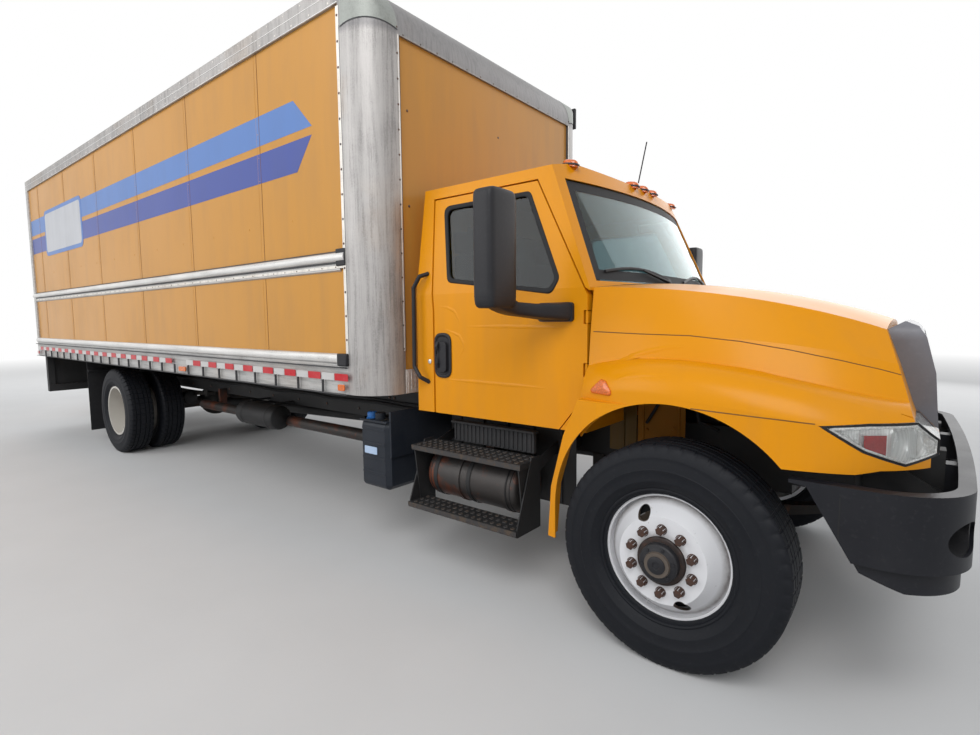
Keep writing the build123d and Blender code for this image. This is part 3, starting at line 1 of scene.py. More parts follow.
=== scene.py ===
from math import copysign, cos, pi, radians, sin, sqrt, tan
import bmesh
import bpy
from mathutils import Matrix, Vector
from mathutils.bvhtree import BVHTree


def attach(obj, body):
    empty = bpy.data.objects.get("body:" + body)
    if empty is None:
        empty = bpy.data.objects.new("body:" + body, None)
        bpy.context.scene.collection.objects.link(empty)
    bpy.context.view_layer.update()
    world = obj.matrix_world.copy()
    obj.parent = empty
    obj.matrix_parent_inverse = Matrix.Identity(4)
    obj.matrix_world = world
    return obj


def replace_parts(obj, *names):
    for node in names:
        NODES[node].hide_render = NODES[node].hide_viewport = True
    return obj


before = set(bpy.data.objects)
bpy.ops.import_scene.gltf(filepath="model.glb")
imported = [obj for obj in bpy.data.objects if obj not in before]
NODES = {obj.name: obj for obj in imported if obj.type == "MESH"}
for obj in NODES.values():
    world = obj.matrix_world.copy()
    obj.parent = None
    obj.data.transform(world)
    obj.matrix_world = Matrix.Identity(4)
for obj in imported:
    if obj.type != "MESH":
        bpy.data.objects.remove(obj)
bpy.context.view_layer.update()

# A two-axle box truck dressed around its CAD frame. Metres, +X forward, +Z up.
FRONT_AXLE_X, REAR_AXLE_X, AXLE_Z = 4.3275, -2.4725, 0.515
SIDES = ((-1, "right"), (1, "left"))
FORWARD, BACKWARD, UP = (1, 0, 0), (-1, 0, 0), (0, 0, 1)


def mm(x, y, z):
    """A point given in millimetres from the front axle, in the frame's metres."""
    return Vector((FRONT_AXLE_X + x / 1000, y / 1000, z / 1000))


def to_mm(point):
    """The same the other way round."""
    return (point.x - FRONT_AXLE_X) * 1000, point.y * 1000, point.z * 1000


# Camera, solved from the photo: yaw, pitch and roll in degrees, the focal length in picture widths
CAMERA_PLACE = (5.1766, -3.4693, 1.5882)
CAMERA_ANGLES = (128.485, -5.104, -0.504)
CAMERA_FOCAL = 540.55 / 980
SENSOR_WIDTH = 36


def place_camera():
    yaw, pitch, roll = (radians(a) for a in CAMERA_ANGLES)
    forward = Vector((cos(pitch) * cos(yaw), cos(pitch) * sin(yaw), sin(pitch)))
    right = Vector((sin(yaw), -cos(yaw), 0))
    up = right.cross(forward)
    right, up = cos(roll) * right + sin(roll) * up, -sin(roll) * right + cos(roll) * up
    camera = bpy.data.objects.new("camera", bpy.data.cameras.new("camera"))
    bpy.context.scene.collection.objects.link(camera)
    camera.data.sensor_width = SENSOR_WIDTH
    camera.data.lens = SENSOR_WIDTH * CAMERA_FOCAL
    camera.data.clip_end = 200
    matrix = Matrix((right, up, -forward)).transposed().to_4x4()
    matrix.translation = Vector(CAMERA_PLACE)
    camera.matrix_world = matrix
    bpy.context.scene.camera = camera


place_camera()
bpy.context.scene.view_settings.view_transform = "Standard"


class Wires:
    """A node tree, wired step by step."""

    def __init__(self, tree):
        self.tree = tree

    def feed(self, value, socket):
        if isinstance(value, bpy.types.NodeSocket):
            self.tree.links.new(value, socket)
        elif socket.type == "RGBA" and len(value) == 3:
            socket.default_value = (*value, 1)
        else:
            socket.default_value = value

    def node(self, kind, **inputs):
        made = self.tree.nodes.new("ShaderNode" + kind)
        for key, value in inputs.items():
            self.feed(value, made.inputs[key.replace("_", " ")])
        return made

    def math(self, operation, *values, clamp=False):
        made = self.node("Math")
        made.operation = operation
        made.use_clamp = clamp
        for value, socket in zip(values, made.inputs):
            self.feed(value, socket)
        return made.outputs[0]

    def times(self, a, b):
        return self.math("MULTIPLY", a, b)

    def most(self, a, b):
        return self.math("MAXIMUM", a, b)

    def scaled(self, value, by, plus):
        return self.math("MULTIPLY_ADD", value, by, plus)

    def length(self, a, b):
        return self.math("SQRT", self.math("ADD", self.times(a, a), self.times(b, b)))

    def blend(self, factor, first, second):
        """Two shaders mixed by a factor."""
        made = self.node("MixShader", Fac=factor)
        self.feed(first, made.inputs[1])
        self.feed(second, made.inputs[2])
        return made.outputs[0]


class Shader(Wires):
    """One procedural material."""

    def __init__(self, name, colour, rough=0.5, metal=0.0, **sockets):
        self.material = bpy.data.materials.new(name)
        self.material.use_nodes = True
        super().__init__(self.material.node_tree)
        self.bsdf = self.tree.nodes["Principled BSDF"]
        sockets.update(Base_Color=colour, Roughness=rough, Metallic=metal)
        for key, value in sockets.items():
            self.link(value, key.replace("_", " "))
        self.position = self.node("TexCoord").outputs["Object"]

    def link(self, value, socket):
        self.feed(value, self.bsdf.inputs[socket])

    def noise(self, scale, detail=4.0, rough=0.55, stretch=None, warp=0.0):
        """Noise values round a half, over object coordinates in metres."""
        vector = self.position
        if stretch:
            vector = self.node("Mapping", Vector=vector, Scale=stretch).outputs[0]
        return self.node("TexNoise", Vector=vector, Scale=scale, Detail=detail, Roughness=rough,
                         Distortion=warp).outputs["Fac"]

    def axis(self, index):
        """One coordinate of the object position."""
        return self.node("SeparateXYZ", Vector=self.position).outputs[index]

    def ramp(self, value, *stops):
        """A ramp from (place, grey or colour) stops."""
        made = self.node("ValToRGB", Fac=value)
        elements = made.color_ramp.elements
        while len(elements) < len(stops):
            elements.new(0.5)
        for element, (place, colour) in zip(elements, stops):
            element.position = place
            element.color = (*(colour if isinstance(colour, tuple) else (colour,) * 3), 1)
        return made.outputs["Color"]

    def rise(self, value, low, high, to_low=0.0, to_high=1.0):
        """A value remapped between two limits."""
        return self.node("MapRange", Value=value, From_Min=low, From_Max=high, To_Min=to_low,
                         To_Max=to_high).outputs[0]

    def mix(self, factor, first, second):
        made = self.node("Mix")
        made.data_type = "RGBA"
        for slot, value in ((0, factor), (6, first), (7, second)):
            self.feed(value, made.inputs[slot])
        return made.outputs[2]

    def bump(self, height, strength=0.3, distance=0.002):
        made = self.node("Bump", Height=height, Strength=strength, Distance=distance)
        socket = self.bsdf.inputs["Normal"]
        if socket.is_linked:
            self.feed(socket.links[0].from_socket, made.inputs["Normal"])
        self.link(made.outputs["Normal"], "Normal")


def dusted(colour, share, plus):
    """A colour dulled to a share of itself and lifted a little."""
    return tuple(c * share + plus for c in colour)


DUST_TOP, DUST_FULL = 1.75, 0.95      # heights between which road dust thickens downward
# The painted shade on the header over the cab starts between these heights and lengths
HEADER_SHADE_Z, HEADER_SHADE_X = (3.34, 3.38), (2.2, 2.24)      # where the header over the cab begins


def paint(name, colour, dust, rough=0.34, low_dust=0.0, wave=0.0, coat=0.08):
    """Glossy paint with thin road dust, worn patches and a little orange peel."""
    s = Shader(name, colour, rough, Coat_Weight=coat, Coat_Roughness=0.2, Specular_IOR_Level=0.15)
    cloud = s.noise(1.3, 7)
    streak = s.noise(9, 4, stretch=(1, 1, 0.12))
    worn = s.times(s.ramp(s.times(cloud, streak), (0.2, 0), (0.36, 1)), dust)
    specks = s.ramp(s.noise(95, 2), (0.7, 0), (0.78, 0.5))
    worn = s.math("ADD", worn, s.times(specks, dust), clamp=True)
    if low_dust:
        height = s.rise(s.axis(2), DUST_TOP, DUST_FULL, 0, low_dust)
        worn = s.math("ADD", worn, s.times(height, s.noise(31, 5, 0.7)), clamp=True)
    s.link(s.mix(worn, colour, dusted(colour, 0.72, 0.03)), "Base Color")
    s.link(s.scaled(cloud, 0.2, rough - 0.1), "Roughness")
    s.bump(s.noise(240, 2), 0.05, 0.001)
    if wave:
        s.bump(s.noise(1.1, 1, stretch=(1, 1, 0.6)), wave, 0.02)
    return s.material


def brushed(name, colour, rough, stretch, blotch=0.35, warm=0.0, header=False, grain=1.0):
    """Speckled, streaked bare aluminium, with painted shade darkening the header over the cab where asked.
    """
    s = Shader(name, colour, rough, 0.55)
    cloud = s.noise(3.2, 5, 0.6, warp=0.4)
    streak = s.noise(46, 7, 0.7, stretch=stretch)
    both = s.scaled(streak, 0.5, s.scaled(cloud, 0.22, s.times(s.noise(170, 4, 0.7), 0.28)))
    light = tuple(min(1, c * (1 + blotch * 0.5)) for c in colour)
    tone = s.ramp(both, (0.41, dusted(colour, 1 - blotch, 0)), (0.5, colour), (0.59, light))
    if warm:
        tone = s.mix(s.times(s.ramp(s.noise(1.9, 3), (0.5, 0), (0.7, 1)), warm), tone, (0.5, 0.36, 0.24))
    # Painted shade: the header over the cab is mixed halfway toward dark grey
    if header:
        header_shade = s.times(s.rise(s.axis(2), *HEADER_SHADE_Z), s.rise(s.axis(0), *HEADER_SHADE_X))
        tone = s.mix(header_shade, tone, s.mix(0.5, tone, (0.1, 0.1, 0.11)))
    s.link(tone, "Base Color")
    s.link(s.scaled(both, 0.5 * grain, rough - 0.22 * grain), "Roughness")
    s.bump(both, 0.15 * grain, 0.001)
    return s.material


def plastic(name, colour, rough=0.5, grain=420, fade=0.02, dust=0.3):
    """Grained moulded plastic, chalked a little by the sun and dusted from the road."""
    s = Shader(name, colour, rough, Specular_IOR_Level=0.25)
    cloud = s.noise(3.2, 7, 0.65)
    tone = s.ramp(cloud, (0.38, colour), (0.72, dusted(colour, 1, fade)))
    specks = s.times(s.ramp(s.noise(55, 4), (0.58, 0), (0.72, 1)), dust)
    s.link(s.mix(specks, tone, dusted(colour, 1, fade * 2 + 0.01)), "Base Color")
    s.link(s.scaled(cloud, 0.25, rough - 0.12), "Roughness")
    s.bump(s.noise(grain, 2), 0.22, 0.0006)
    return s.material


def rusty(name, colour, rust=(0.13, 0.052, 0.024), amount=0.5, scale=9.0, rough=0.62, metal=0.3):
    """Steel with patches of rust and dust."""
    s = Shader(name, colour, rough, metal)
    patch = s.noise(scale, 9, 0.7, warp=0.5)
    mask = s.ramp(patch, (0.66 - amount * 0.3, 0), (0.8 - amount * 0.3, 1))
    dust = s.mix(s.ramp(s.noise(2.3, 6), (0.45, 0), (0.8, 0.5)), colour, dusted(colour, 0.8, 0.03))
    s.link(s.mix(mask, dust, rust), "Base Color")
    s.bump(s.noise(scale * 14, 4), 0.35, 0.0015)
    return s.material


def glass(name, colour, rough=0.02):
    """Clear or tinted glass with faint waves and a film of dust."""
    s = Shader(name, colour, rough, Transmission_Weight=1.0, IOR=1.33)
    s.link(s.scaled(s.ramp(s.noise(3.1, 5), (0.45, 0), (0.8, 1)), 0.05, rough), "Roughness")
    s.bump(s.noise(2.2, 2), 0.02, 0.002)
    return s.material


def lens(name, colour):
    """A moulded lamp lens with fine prisms under its face."""
    s = Shader(name, colour, 0.2, Coat_Weight=0.6, Coat_Roughness=0.05)
    rings = s.node("TexVoronoi", Vector=s.position, Scale=140.0).outputs["Distance"]
    s.link(s.mix(s.rise(rings, 0, 0.7), colour, dusted(colour, 0.6, 0)), "Base Color")
    s.bump(rings, 0.5, 0.001)
    return s.material


M = {
    "cab": paint("cab_paint", (0.76, 0.29, 0.0012), 0.2, low_dust=0.18),
    "box": paint("box_paint", (0.58, 0.275, 0.05), 0.35, 0.33, wave=0.35, coat=0.15),
    # The arch panels' yellow is darkened as painted shade, with heavy dust over it
    "inner": paint("inner_paint_shaded", (0.30, 0.125, 0.012), 0.6, 0.6, coat=0.0),
    "liner": paint("arch_liner", (0.12, 0.07, 0.014), 0.6, rough=0.6),
    "seam": plastic("seam_shadow", (0.2, 0.085, 0.02), 0.7, dust=0.5),
    "joint": plastic("metal_joint", (0.07, 0.07, 0.073), 0.7),
    "gap": plastic("joint_shadow", (0.045, 0.018, 0.006), 0.75),
    "blue": paint("stripe_blue", (0.115, 0.225, 0.52), 0.3, 0.38, wave=0.35, coat=0.15),
    "navy": paint("stripe_navy", (0.07, 0.10, 0.34), 0.3, 0.38, wave=0.35, coat=0.15),
    # The blank sign's white is lowered to grey as painted shade
    "sign": paint("sign_white_shaded", (0.53, 0.54, 0.57), 0.35, 0.4, wave=0.3, coat=0.1),
    # post_metal and rail_metal carry the painted shade on the header over the cab
    "post": brushed("post_metal", (0.38, 0.365, 0.355), 0.46, (1, 1, 0.05), 0.36, 0.2, True),
    "cap": brushed("corner_cap", (0.30, 0.315, 0.295), 0.5, (1, 1, 1), 0.15),
    "rail": brushed("rail_metal", (0.48, 0.475, 0.465), 0.42, (0.06, 1, 1), 0.3, 0.15, True),
    "bright_rail": brushed("rub_rail_metal", (0.74, 0.73, 0.71), 0.3, (0.03, 1, 1), 0.22),
    "flange": brushed("flange_metal", (0.72, 0.69, 0.64), 0.5, (1, 1, 0.2), 0.2, 0.2),
    "bolt": rusty("dark_bolt", (0.09, 0.08, 0.075), amount=0.7, scale=60),
    "nut": rusty("rusty_nut", (0.05, 0.03, 0.024), (0.075, 0.034, 0.022), 0.8, 70, 0.85, 0.1),
    "hub": rusty("hub_iron", (0.022, 0.014, 0.012), (0.05, 0.022, 0.014), 0.5, 30, 0.5, 0.3),
    "black": rusty("chassis_black", (0.016, 0.016, 0.017), amount=0.05, rough=0.6),
    "cast": rusty("cast_iron", (0.03, 0.027, 0.025), amount=0.3),
    "canister": rusty("canister_steel", (0.045, 0.04, 0.038), (0.15, 0.045, 0.022), 0.55, 3.5, 0.5, 0.5),
    "bumper": plastic("bumper_plastic", (0.009, 0.0095, 0.013), 0.42, fade=0.006),
    "trim": plastic("black_trim", (0.017, 0.017, 0.02), 0.45, fade=0.008),
    "tank": plastic("tank_plastic", (0.014, 0.018, 0.026), 0.4, fade=0.01),
    "grille": plastic("grille_plastic", (0.16, 0.162, 0.182), 0.3, fade=0.05, dust=0.2),
    "rubber": plastic("black_rubber", (0.013, 0.013, 0.0145), 0.62, 300, 0.01),
    "tyre": plastic("tyre_rubber", (0.0035, 0.0045, 0.0075), 0.62, 260, 0.003, 0.3),
    "cabin": plastic("cabin_trim", (0.05, 0.05, 0.055), 0.75, 260),
    "wood": plastic("floor_board", (0.19, 0.11, 0.055), 0.8, 60, 0.04),
    "tread": rusty("tread_steel", (0.045, 0.042, 0.042), (0.085, 0.062, 0.045), 0.6, 22, 0.6, 0.4),
    "red_tape": plastic("red_tape", (0.5, 0.012, 0.02), 0.3, 900, 0.05),
    "white_tape": plastic("white_tape", (0.55, 0.54, 0.53), 0.3, 900, 0.03),
    "label": plastic("blank_label", (0.38, 0.5, 0.68), 0.4, 700, 0.1),
    "blue_cap": plastic("blue_cap", (0.01, 0.13, 0.42), 0.35, 300, 0.03),
    "battery": plastic("grey_liner", (0.035, 0.035, 0.037), 0.8, 120, 0.02),
    "chrome": brushed("polished_metal", (0.62, 0.62, 0.62), 0.26, (1, 1, 1), 0.1, grain=0.15),
    "tint": glass("tinted_glass", (0.33, 0.55, 0.56)),
    "side_tint": glass("side_glass", (0.11, 0.15, 0.165)),
    "clear": glass("clear_lens", (0.96, 0.97, 0.97), 0.05),
    "amber": lens("amber_lens", (0.95, 0.19, 0.006)),
    "red": lens("red_lens", (0.62, 0.02, 0.018)),
    "white_lens": lens("white_lens", (0.7, 0.7, 0.68))}

# Rims: white paint, streaked with rust and brake dust round the flange, dark in the hub, with painted shade
# in the dish and the hand holes
HOLE_RING, HOLE_SHADE_EDGE, HOLE_TURNS = 0.212, (0.0335, 0.031), (115, 295)
for look, tone, middle, depth, dish in (
        ("front_rim", (0.70, 0.70, 0.72), FRONT_AXLE_X, (1.172, 1.166), (0.206, 0.2)),
        ("rear_rim", (0.55, 0.52, 0.47), REAR_AXLE_X, (0.955, 0.945), (0.25, 0.262))):
    s = Shader(look + "_paint", tone, 0.4, Coat_Weight=0.25, Coat_Roughness=0.2)
    radius = s.length(s.math("SUBTRACT", s.axis(0), middle), s.math("SUBTRACT", s.axis(2), AXLE_Z))
    grime = s.times(s.times(s.rise(radius, 0.24, 0.262), s.rise(radius, 0.276, 0.266)),
                    s.times(s.noise(17, 7, 0.7), 1.3))
    dark = s.times(s.rise(radius, 0.135, 0.105, 0, 1.1), s.noise(40, 5, 0.7))
    # Painted shade inside each hand hole
    for turn in HOLE_TURNS:
        hole_x = middle + HOLE_RING * cos(radians(turn))
        hole_z = AXLE_Z + HOLE_RING * sin(radians(turn))
        away = s.length(s.math("SUBTRACT", s.axis(0), hole_x), s.math("SUBTRACT", s.axis(2), hole_z))
        dark = s.most(dark, s.rise(away, *HOLE_SHADE_EDGE))
    dark = s.most(dark, s.rise(radius, 0.1, 0.094))
    # Painted shade on the rim's inner part over the dish, behind its outer face
    dark = s.most(dark, s.times(s.rise(s.math("ABSOLUTE", s.axis(1)), *depth), s.rise(radius, *dish)))
    spots = s.ramp(s.noise(48, 5, 0.7), (0.66, 0), (0.76, 0.8))
    s.link(s.mix(s.most(s.most(grime, dark), spots), tone, (0.09, 0.07, 0.055)), "Base Color")
    s.link(s.scaled(s.noise(6, 4), 0.3, 0.25), "Roughness")
    s.bump(s.noise(120, 3), 0.1, 0.001)
    M[look] = s.material

# The headlamps' fluted reflector
s = Shader("lamp_chrome", (0.9, 0.91, 0.9), 0.3, 0.2)
flutes = s.node("TexWave", Vector=s.position, Scale=38.0, Distortion=0.4).outputs["Fac"]
s.link(s.mix(flutes, (0.8, 0.81, 0.8), (0.95, 0.96, 0.95)), "Base Color")
s.link(s.scaled(s.noise(14, 4), 0.3, 0.1), "Roughness")
s.bump(flutes, 0.3, 0.002)
M["lamp_chrome"] = s.material

# Seat cloth: a fine weave over a soft pile
s = Shader("seat_cloth", (0.05, 0.05, 0.056), 0.9, Sheen_Weight=0.4)
weave = s.node("TexWave", Vector=s.position, Scale=90.0, Distortion=1.0).outputs["Fac"]
s.link(s.mix(s.times(weave, s.noise(20, 4)), (0.025, 0.025, 0.028), (0.030, 0.030, 0.033)), "Base Color")
s.bump(weave, 0.02, 0.0003)
M["cloth"] = s.material

# The slots of the pieces' looks; any other look is box_metal
CAD_LOOKS = {
    "cab": ("cab_shell", "door_right", "door_left", "hood_shell"),
    "box": ("box_walls", "rollup_door"),
    "post": ("box_frame",),
    "rail": ("box_roof", "box_rub_rails", "rear_frame"),
    "black": ("frame", "driveline", "cab_steps", "rear_bumper", "engine"),
    "cast": ("front_axle", "rear_axle", "knuckle_right", "knuckle_left", "tie_rod"),
    "canister": ("exhaust",),
    "bumper": ("front_bumper", "cowl"),
    "tank": ("fluid_tank",),
    "trim": ("cab_trim",),
    "grille": ("grille",),
    "rubber": ("mud_flaps",),
    "wood": ("box_floor",),
    "front_rim": ("front_rim_right", "front_rim_left"),
    "rear_rim": ("rear_rims_right", "rear_rims_left"),
    "tint": ("cab_glass",),
    "side_tint": ("door_glass_right", "door_glass_left"),
    "chrome": ("fuel_tank",)}
for look, names in CAD_LOOKS.items():
    for name in names:
        for slot in NODES[name].material_slots:
            slot.material = M[look]


def turns(count):
    return [2 * pi * i / count for i in range(count)]


def bent(value, power):
    """A value raised to a power with its sign kept, for rings with square corners."""
    return copysign(abs(value) ** power, value)


# Mesh building, in millimetres from the front axle
class Form:
    """Solids and surfaces gathered in one mesh, which starts empty again after each piece."""

    def __init__(self):
        self.bm = bmesh.new()

    def loft(self, rows, closed=True, caps=True, loop=False):
        """Skin rows of points, each a closed ring or an open line; loop joins the last to the first."""
        rings = [[self.bm.verts.new(p) for p in row] for row in rows]
        if loop:
            rings.append(rings[0])
        for first, second in zip(rings, rings[1:]):
            count = len(first)
            for i in range(count if closed else count - 1):
                j = (i + 1) % count
                self.bm.faces.new((first[i], first[j], second[j], second[i]))
        if caps:
            self.bm.faces.new(rings[0])
            self.bm.faces.new(list(reversed(rings[-1])))

    def prism(self, outline, axis, near, far):
        """An outline of the two other coordinates, swept along an axis."""
        place = {"x": lambda u, v, w: mm(w, u, v), "y": lambda u, v, w: mm(u, w, v),
                 "z": lambda u, v, w: mm(u, v, w)}[axis]
        self.loft([[place(u, v, w) for u, v in outline] for w in (near, far)])

    def plate(self, outline, side, near, far):
        """An (x, z) outline between two stand-offs from the middle, on one side."""
        self.prism(outline, "y", side * near, side * far)

    def box(self, low, high, side=1):
        """A box between two corners, which side -1 mirrors."""
        y0, y1 = sorted((side * low[1], side * high[1]))
        self.prism(rect(low[0], high[0], y0, y1), "z", low[2], high[2])

    def tube(self, path, radius, sides=10, flat=1.0):
        """A bar along a path of points; flat squeezes it upright."""
        points = [mm(*p) for p in path]
        radii = radius if isinstance(radius, list) else [radius] * len(points)
        rings = []
        for i, point in enumerate(points):
            ahead = (points[min(i + 1, len(points) - 1)] - points[max(i - 1, 0)]).normalized()
            side = ahead.cross(Vector(UP))
            if side.length < 0.05:
                side = ahead.cross(Vector((0, 1, 0)))
            side.normalize()
            up = side.cross(ahead)
            rings.append([point + radii[i] / 1000 * (cos(a) * side + flat * sin(a) * up)
                          for a in turns(sides)])
        self.loft(rings)

    def turned(self, profile, centre, axis, sides=32, caps=False):
        """A (radius, along) profile spun about an axis through a centre."""
        middle = mm(*centre)
        axis = Vector(axis).normalized()
        side = axis.orthogonal().normalized()
        up = axis.cross(side)
        rings = []
        for radius, along in profile:
            r = max(radius, 0.05) / 1000
            rings.append([middle + axis * along / 1000 + r * (cos(a) * side + sin(a) * up)
                          for a in turns(sides)])
        self.loft(rings, caps=caps)

    def dome(self, centre, axis, radius, height, sides=8):
        """A rivet head or bolt head."""
        self.turned([(radius, -0.5), (radius, height * 0.35), (radius * 0.7, height * 0.85), (0, height)],
                    centre, axis, sides)

    def studs(self, count, start, step, *shape):
        """An even row of domes."""
        for k in range(count):
            self.dome([a + b * k for a, b in zip(start, step)], *shape)

    def sheet(self, rows):
        """A surface through rows of ready points."""
        self.loft(rows, closed=False, caps=False)

    def make(self, name, look, body="chassis", slot=None, crease=35, bevel=0.0, solid=0.0):
        """Close the mesh as a named piece that rides on a body."""
        bmesh.ops.recalc_face_normals(self.bm, faces=self.bm.faces)
        for edge in self.bm.edges:
            if len(edge.link_faces) == 2:
                edge.smooth = edge.calc_face_angle(0) < radians(crease)
        for face in self.bm.faces:
            face.smooth = True
        mesh = bpy.data.meshes.new(name)
        self.bm.to_mesh(mesh)
        self.bm.free()
        self.bm = bmesh.new()
        piece = bpy.data.objects.new(name, mesh)
        bpy.context.scene.collection.objects.link(piece)
        mesh.materials.append(M[look])
        if solid:
            thick = piece.modifiers.new("thickness", "SOLIDIFY")
            thick.thickness = solid / 1000
            thick.offset = 0
        if bevel:
            round_off = piece.modifiers.new("bevel", "BEVEL")
            round_off.width = bevel / 1000
            round_off.segments = 2
            round_off.limit_method = "ANGLE"
        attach(piece, body)
        return piece


def rect(x0, x1, z0, z1):
    return [(x0, z0), (x1, z0), (x1, z1), (x0, z1)]


def rounded(points, radius, steps=4):
    """A polygon with its corners rounded."""
    out = []
    for i, point in enumerate(points):
        here = Vector(point)
        back = Vector(points[i - 1]) - here
        ahead = Vector(points[(i + 1) % len(points)]) - here
        reach = min(radius / tan(back.angle(ahead) / 2), back.length * 0.49, ahead.length * 0.49)
        start = here + back.normalized() * reach
        end = here + ahead.normalized() * reach
        for step in range(steps + 1):
            t = step / steps
            out.append(tuple((1 - t) ** 2 * start + 2 * t * (1 - t) * here + t ** 2 * end))
    return out


def oblong(x0, x1, z0, z1, radius, steps=4):
    return rounded(rect(x0, x1, z0, z1), radius, steps)


def inset(outline, by):
    """A polygon drawn in evenly by a distance."""
    area = sum(a[0] * b[1] - b[0] * a[1] for a, b in zip(outline, outline[1:] + outline[:1]))
    out = []
    for i, point in enumerate(outline):
        here = Vector(point)
        before = (here - Vector(outline[i - 1])).normalized()
        after = (Vector(outline[(i + 1) % len(outline)]) - here).normalized()
        bisector = Vector((-(before + after).y, (before + after).x)).normalized()
        stretch = max(0.4, abs(bisector.dot(Vector((-before.y, before.x)))))
        out.append(tuple(here + bisector * by / stretch * (1 if area > 0 else -1)))
    return out


def spread(points, step=25.0):
    """The same path with more points on it."""
    out = []
    for first, second in zip(points, points[1:]):
        first, second = Vector(first), Vector(second)
        count = max(1, int((second - first).length / step))
        out += [tuple(first.lerp(second, i / count)) for i in range(count)]
    return out + [tuple(points[-1])]


def on_side(path, side, step=25.0):
    """An (x, z) path beside the truck, with more points on it."""
    return spread([(x, side * 1300, z) for x, z in path], step)


TREES = {}


def tree(node):
    """A search tree over a CAD node's surface."""
    if node not in TREES:
        skin = bmesh.new()
        skin.from_mesh(NODES[node].data)
        TREES[node] = BVHTree.FromBMesh(skin)
        skin.free()
    return TREES[node]


def drape(node, points, direction, lift=0.0, fill=False):
    """Points dropped along a direction onto a CAD node and lifted off it; fill stands in for misses."""
    away = -Vector(direction).normalized()
    out = []
    for point in points:
        place, normal = tree(node).ray_cast(mm(*point) + away * 3, -away)[:2]
        if place is not None:
            out.append(place + (normal if normal.dot(away) >= 0 else -normal) * lift / 1000)
        elif fill:
            out.append(out[-1] if out else None)
    return [p or next(q for q in out if q) for p in out]


def ribbon(form, node, points, direction, width, lift=0.7):
    """A narrow crowned strip along points dropped on a node."""
    places = drape(node, points, direction, lift)
    crown = -Vector(direction).normalized() * 0.0006
    rows = []
    for i, place in enumerate(places):
        ahead = places[min(i + 1, len(places) - 1)] - places[max(i - 1, 0)]
        across = ahead.cross(Vector(direction)).normalized() * width / 2000
        rows.append([place - across, place + crown, place + across])
    form.sheet(rows)


def bead(form, node, points, direction, width, height):
    """A soft pressed crease that fades into the skin at both sides and ends."""
    places = drape(node, points, direction)
    back = -Vector(direction).normalized()
    last = len(places) - 1
    rows = []
    for i, place in enumerate(places):
        ahead = places[min(i + 1, last)] - places[max(i - 1, 0)]
        across = ahead.cross(back).normalized()
        swell = min(1.0, 3.2 * min(i, last - i) / len(places))
        row = []
        for k in range(-4, 5):
            aside = place + across * width * k / 8000 * (0.35 + 0.65 * swell)
            hit = tree(node).ray_cast(aside + back * 0.3, -back)[0] or aside
            lift = height * swell * (0.5 + 0.5 * cos(pi * k / 4)) - 0.35
            row.append(hit + back * lift / 1000)
        rows.append(row)
    form.sheet(rows)


form, pale = Form(), Form()

# Box livery: two slanted stripes, a blank sign with a blue border, panel seams and fasteners
WALL = 1277
STRIPES = (("blue", [(-9600, 2875), (-2394, 2884), (-2604, 3095), (-9600, 3093)]),
           ("navy", [(-9600, 2610), (-2583, 2614), (-2398, 2828), (-9600, 2825)]))
SEAMS = (-3060, -4265, -5475, -6690, -7910, -9130)
for side, hand in SIDES:
    for look, outline in STRIPES:
        form.plate(outline, side, WALL - 0.5, WALL + 1)
        form.make(f"stripe_{look}_{hand}", look)
    form.plate(oblong(-8900, -7260, 2530, 3148, 95, 6), side, WALL, WALL + 3)
    form.make(f"sign_border_{hand}", "blue", bevel=0.8)
    form.plate(oblong(-8852, -7308, 2578, 3100, 60, 6), side, WALL + 2.5, WALL + 4.5)
    form.make(f"sign_blank_{hand}", "sign", bevel=0.8)
    for x in SEAMS:
        form.plate(rect(x - 2.2, x + 2.2, 1372, 3536), side, WALL - 1, WALL + 1.6)
        pale.plate(rect(x - 42, x - 40, 1372, 3536), side, WALL - 1, WALL + 1.1)
    form.make(f"wall_seams_{hand}", "seam")
    pale.make(f"lap_edges_{hand}", "box")
    form.studs(12, (-2675, side * WALL, 2293), (-595, 0, 0), (0, side, 0), 8, 3)
    for x in SEAMS:
        form.studs(13, (x - 21, side * WALL, 1440), (0, 0, 170), (0, side, 0), 4.5, 2.2, 6)
    form.make(f"wall_fasteners_{hand}", "box")

# Front posts and header: riveted flanges beside dark gap lines
dark, line = Form(), Form()
for side, hand in SIDES:
    line.plate(rect(-2050, -2046, 1369, 3400), side, 1285, 1295.6)
    line.box((-1808, 1034, 1385), (-1789, 1038, 3360), side)
    form.plate(rect(-2078, -2050, 1369, 3520), side, 1285, 1296)
    form.box((-1808, 1040, 1385), (-1786.5, 1050, 3360), side)
    dark.studs(14, (-2064, side * 1296, 1462), (0, 0, 154), (0, side, 0), 8, 4)
    dark.studs(14, (-1790, side * 1053, 1400), (0, 0, 154), FORWARD, 7, 4)
dark.studs(14, (-1792, -1000, 3374), (0, 154, 0), FORWARD, 7, 4)
for y, z in ((-962, 2329), (-962, 2930), (962, 2329), (0, 2329), (0, 3000)):
    dark.dome((-1808, y, z), FORWARD, 9, 4)
line.make("post_gap_lines", "joint")
form.make("post_flanges", "flange", bevel=1.0)
dark.make("post_rivets", "bolt")

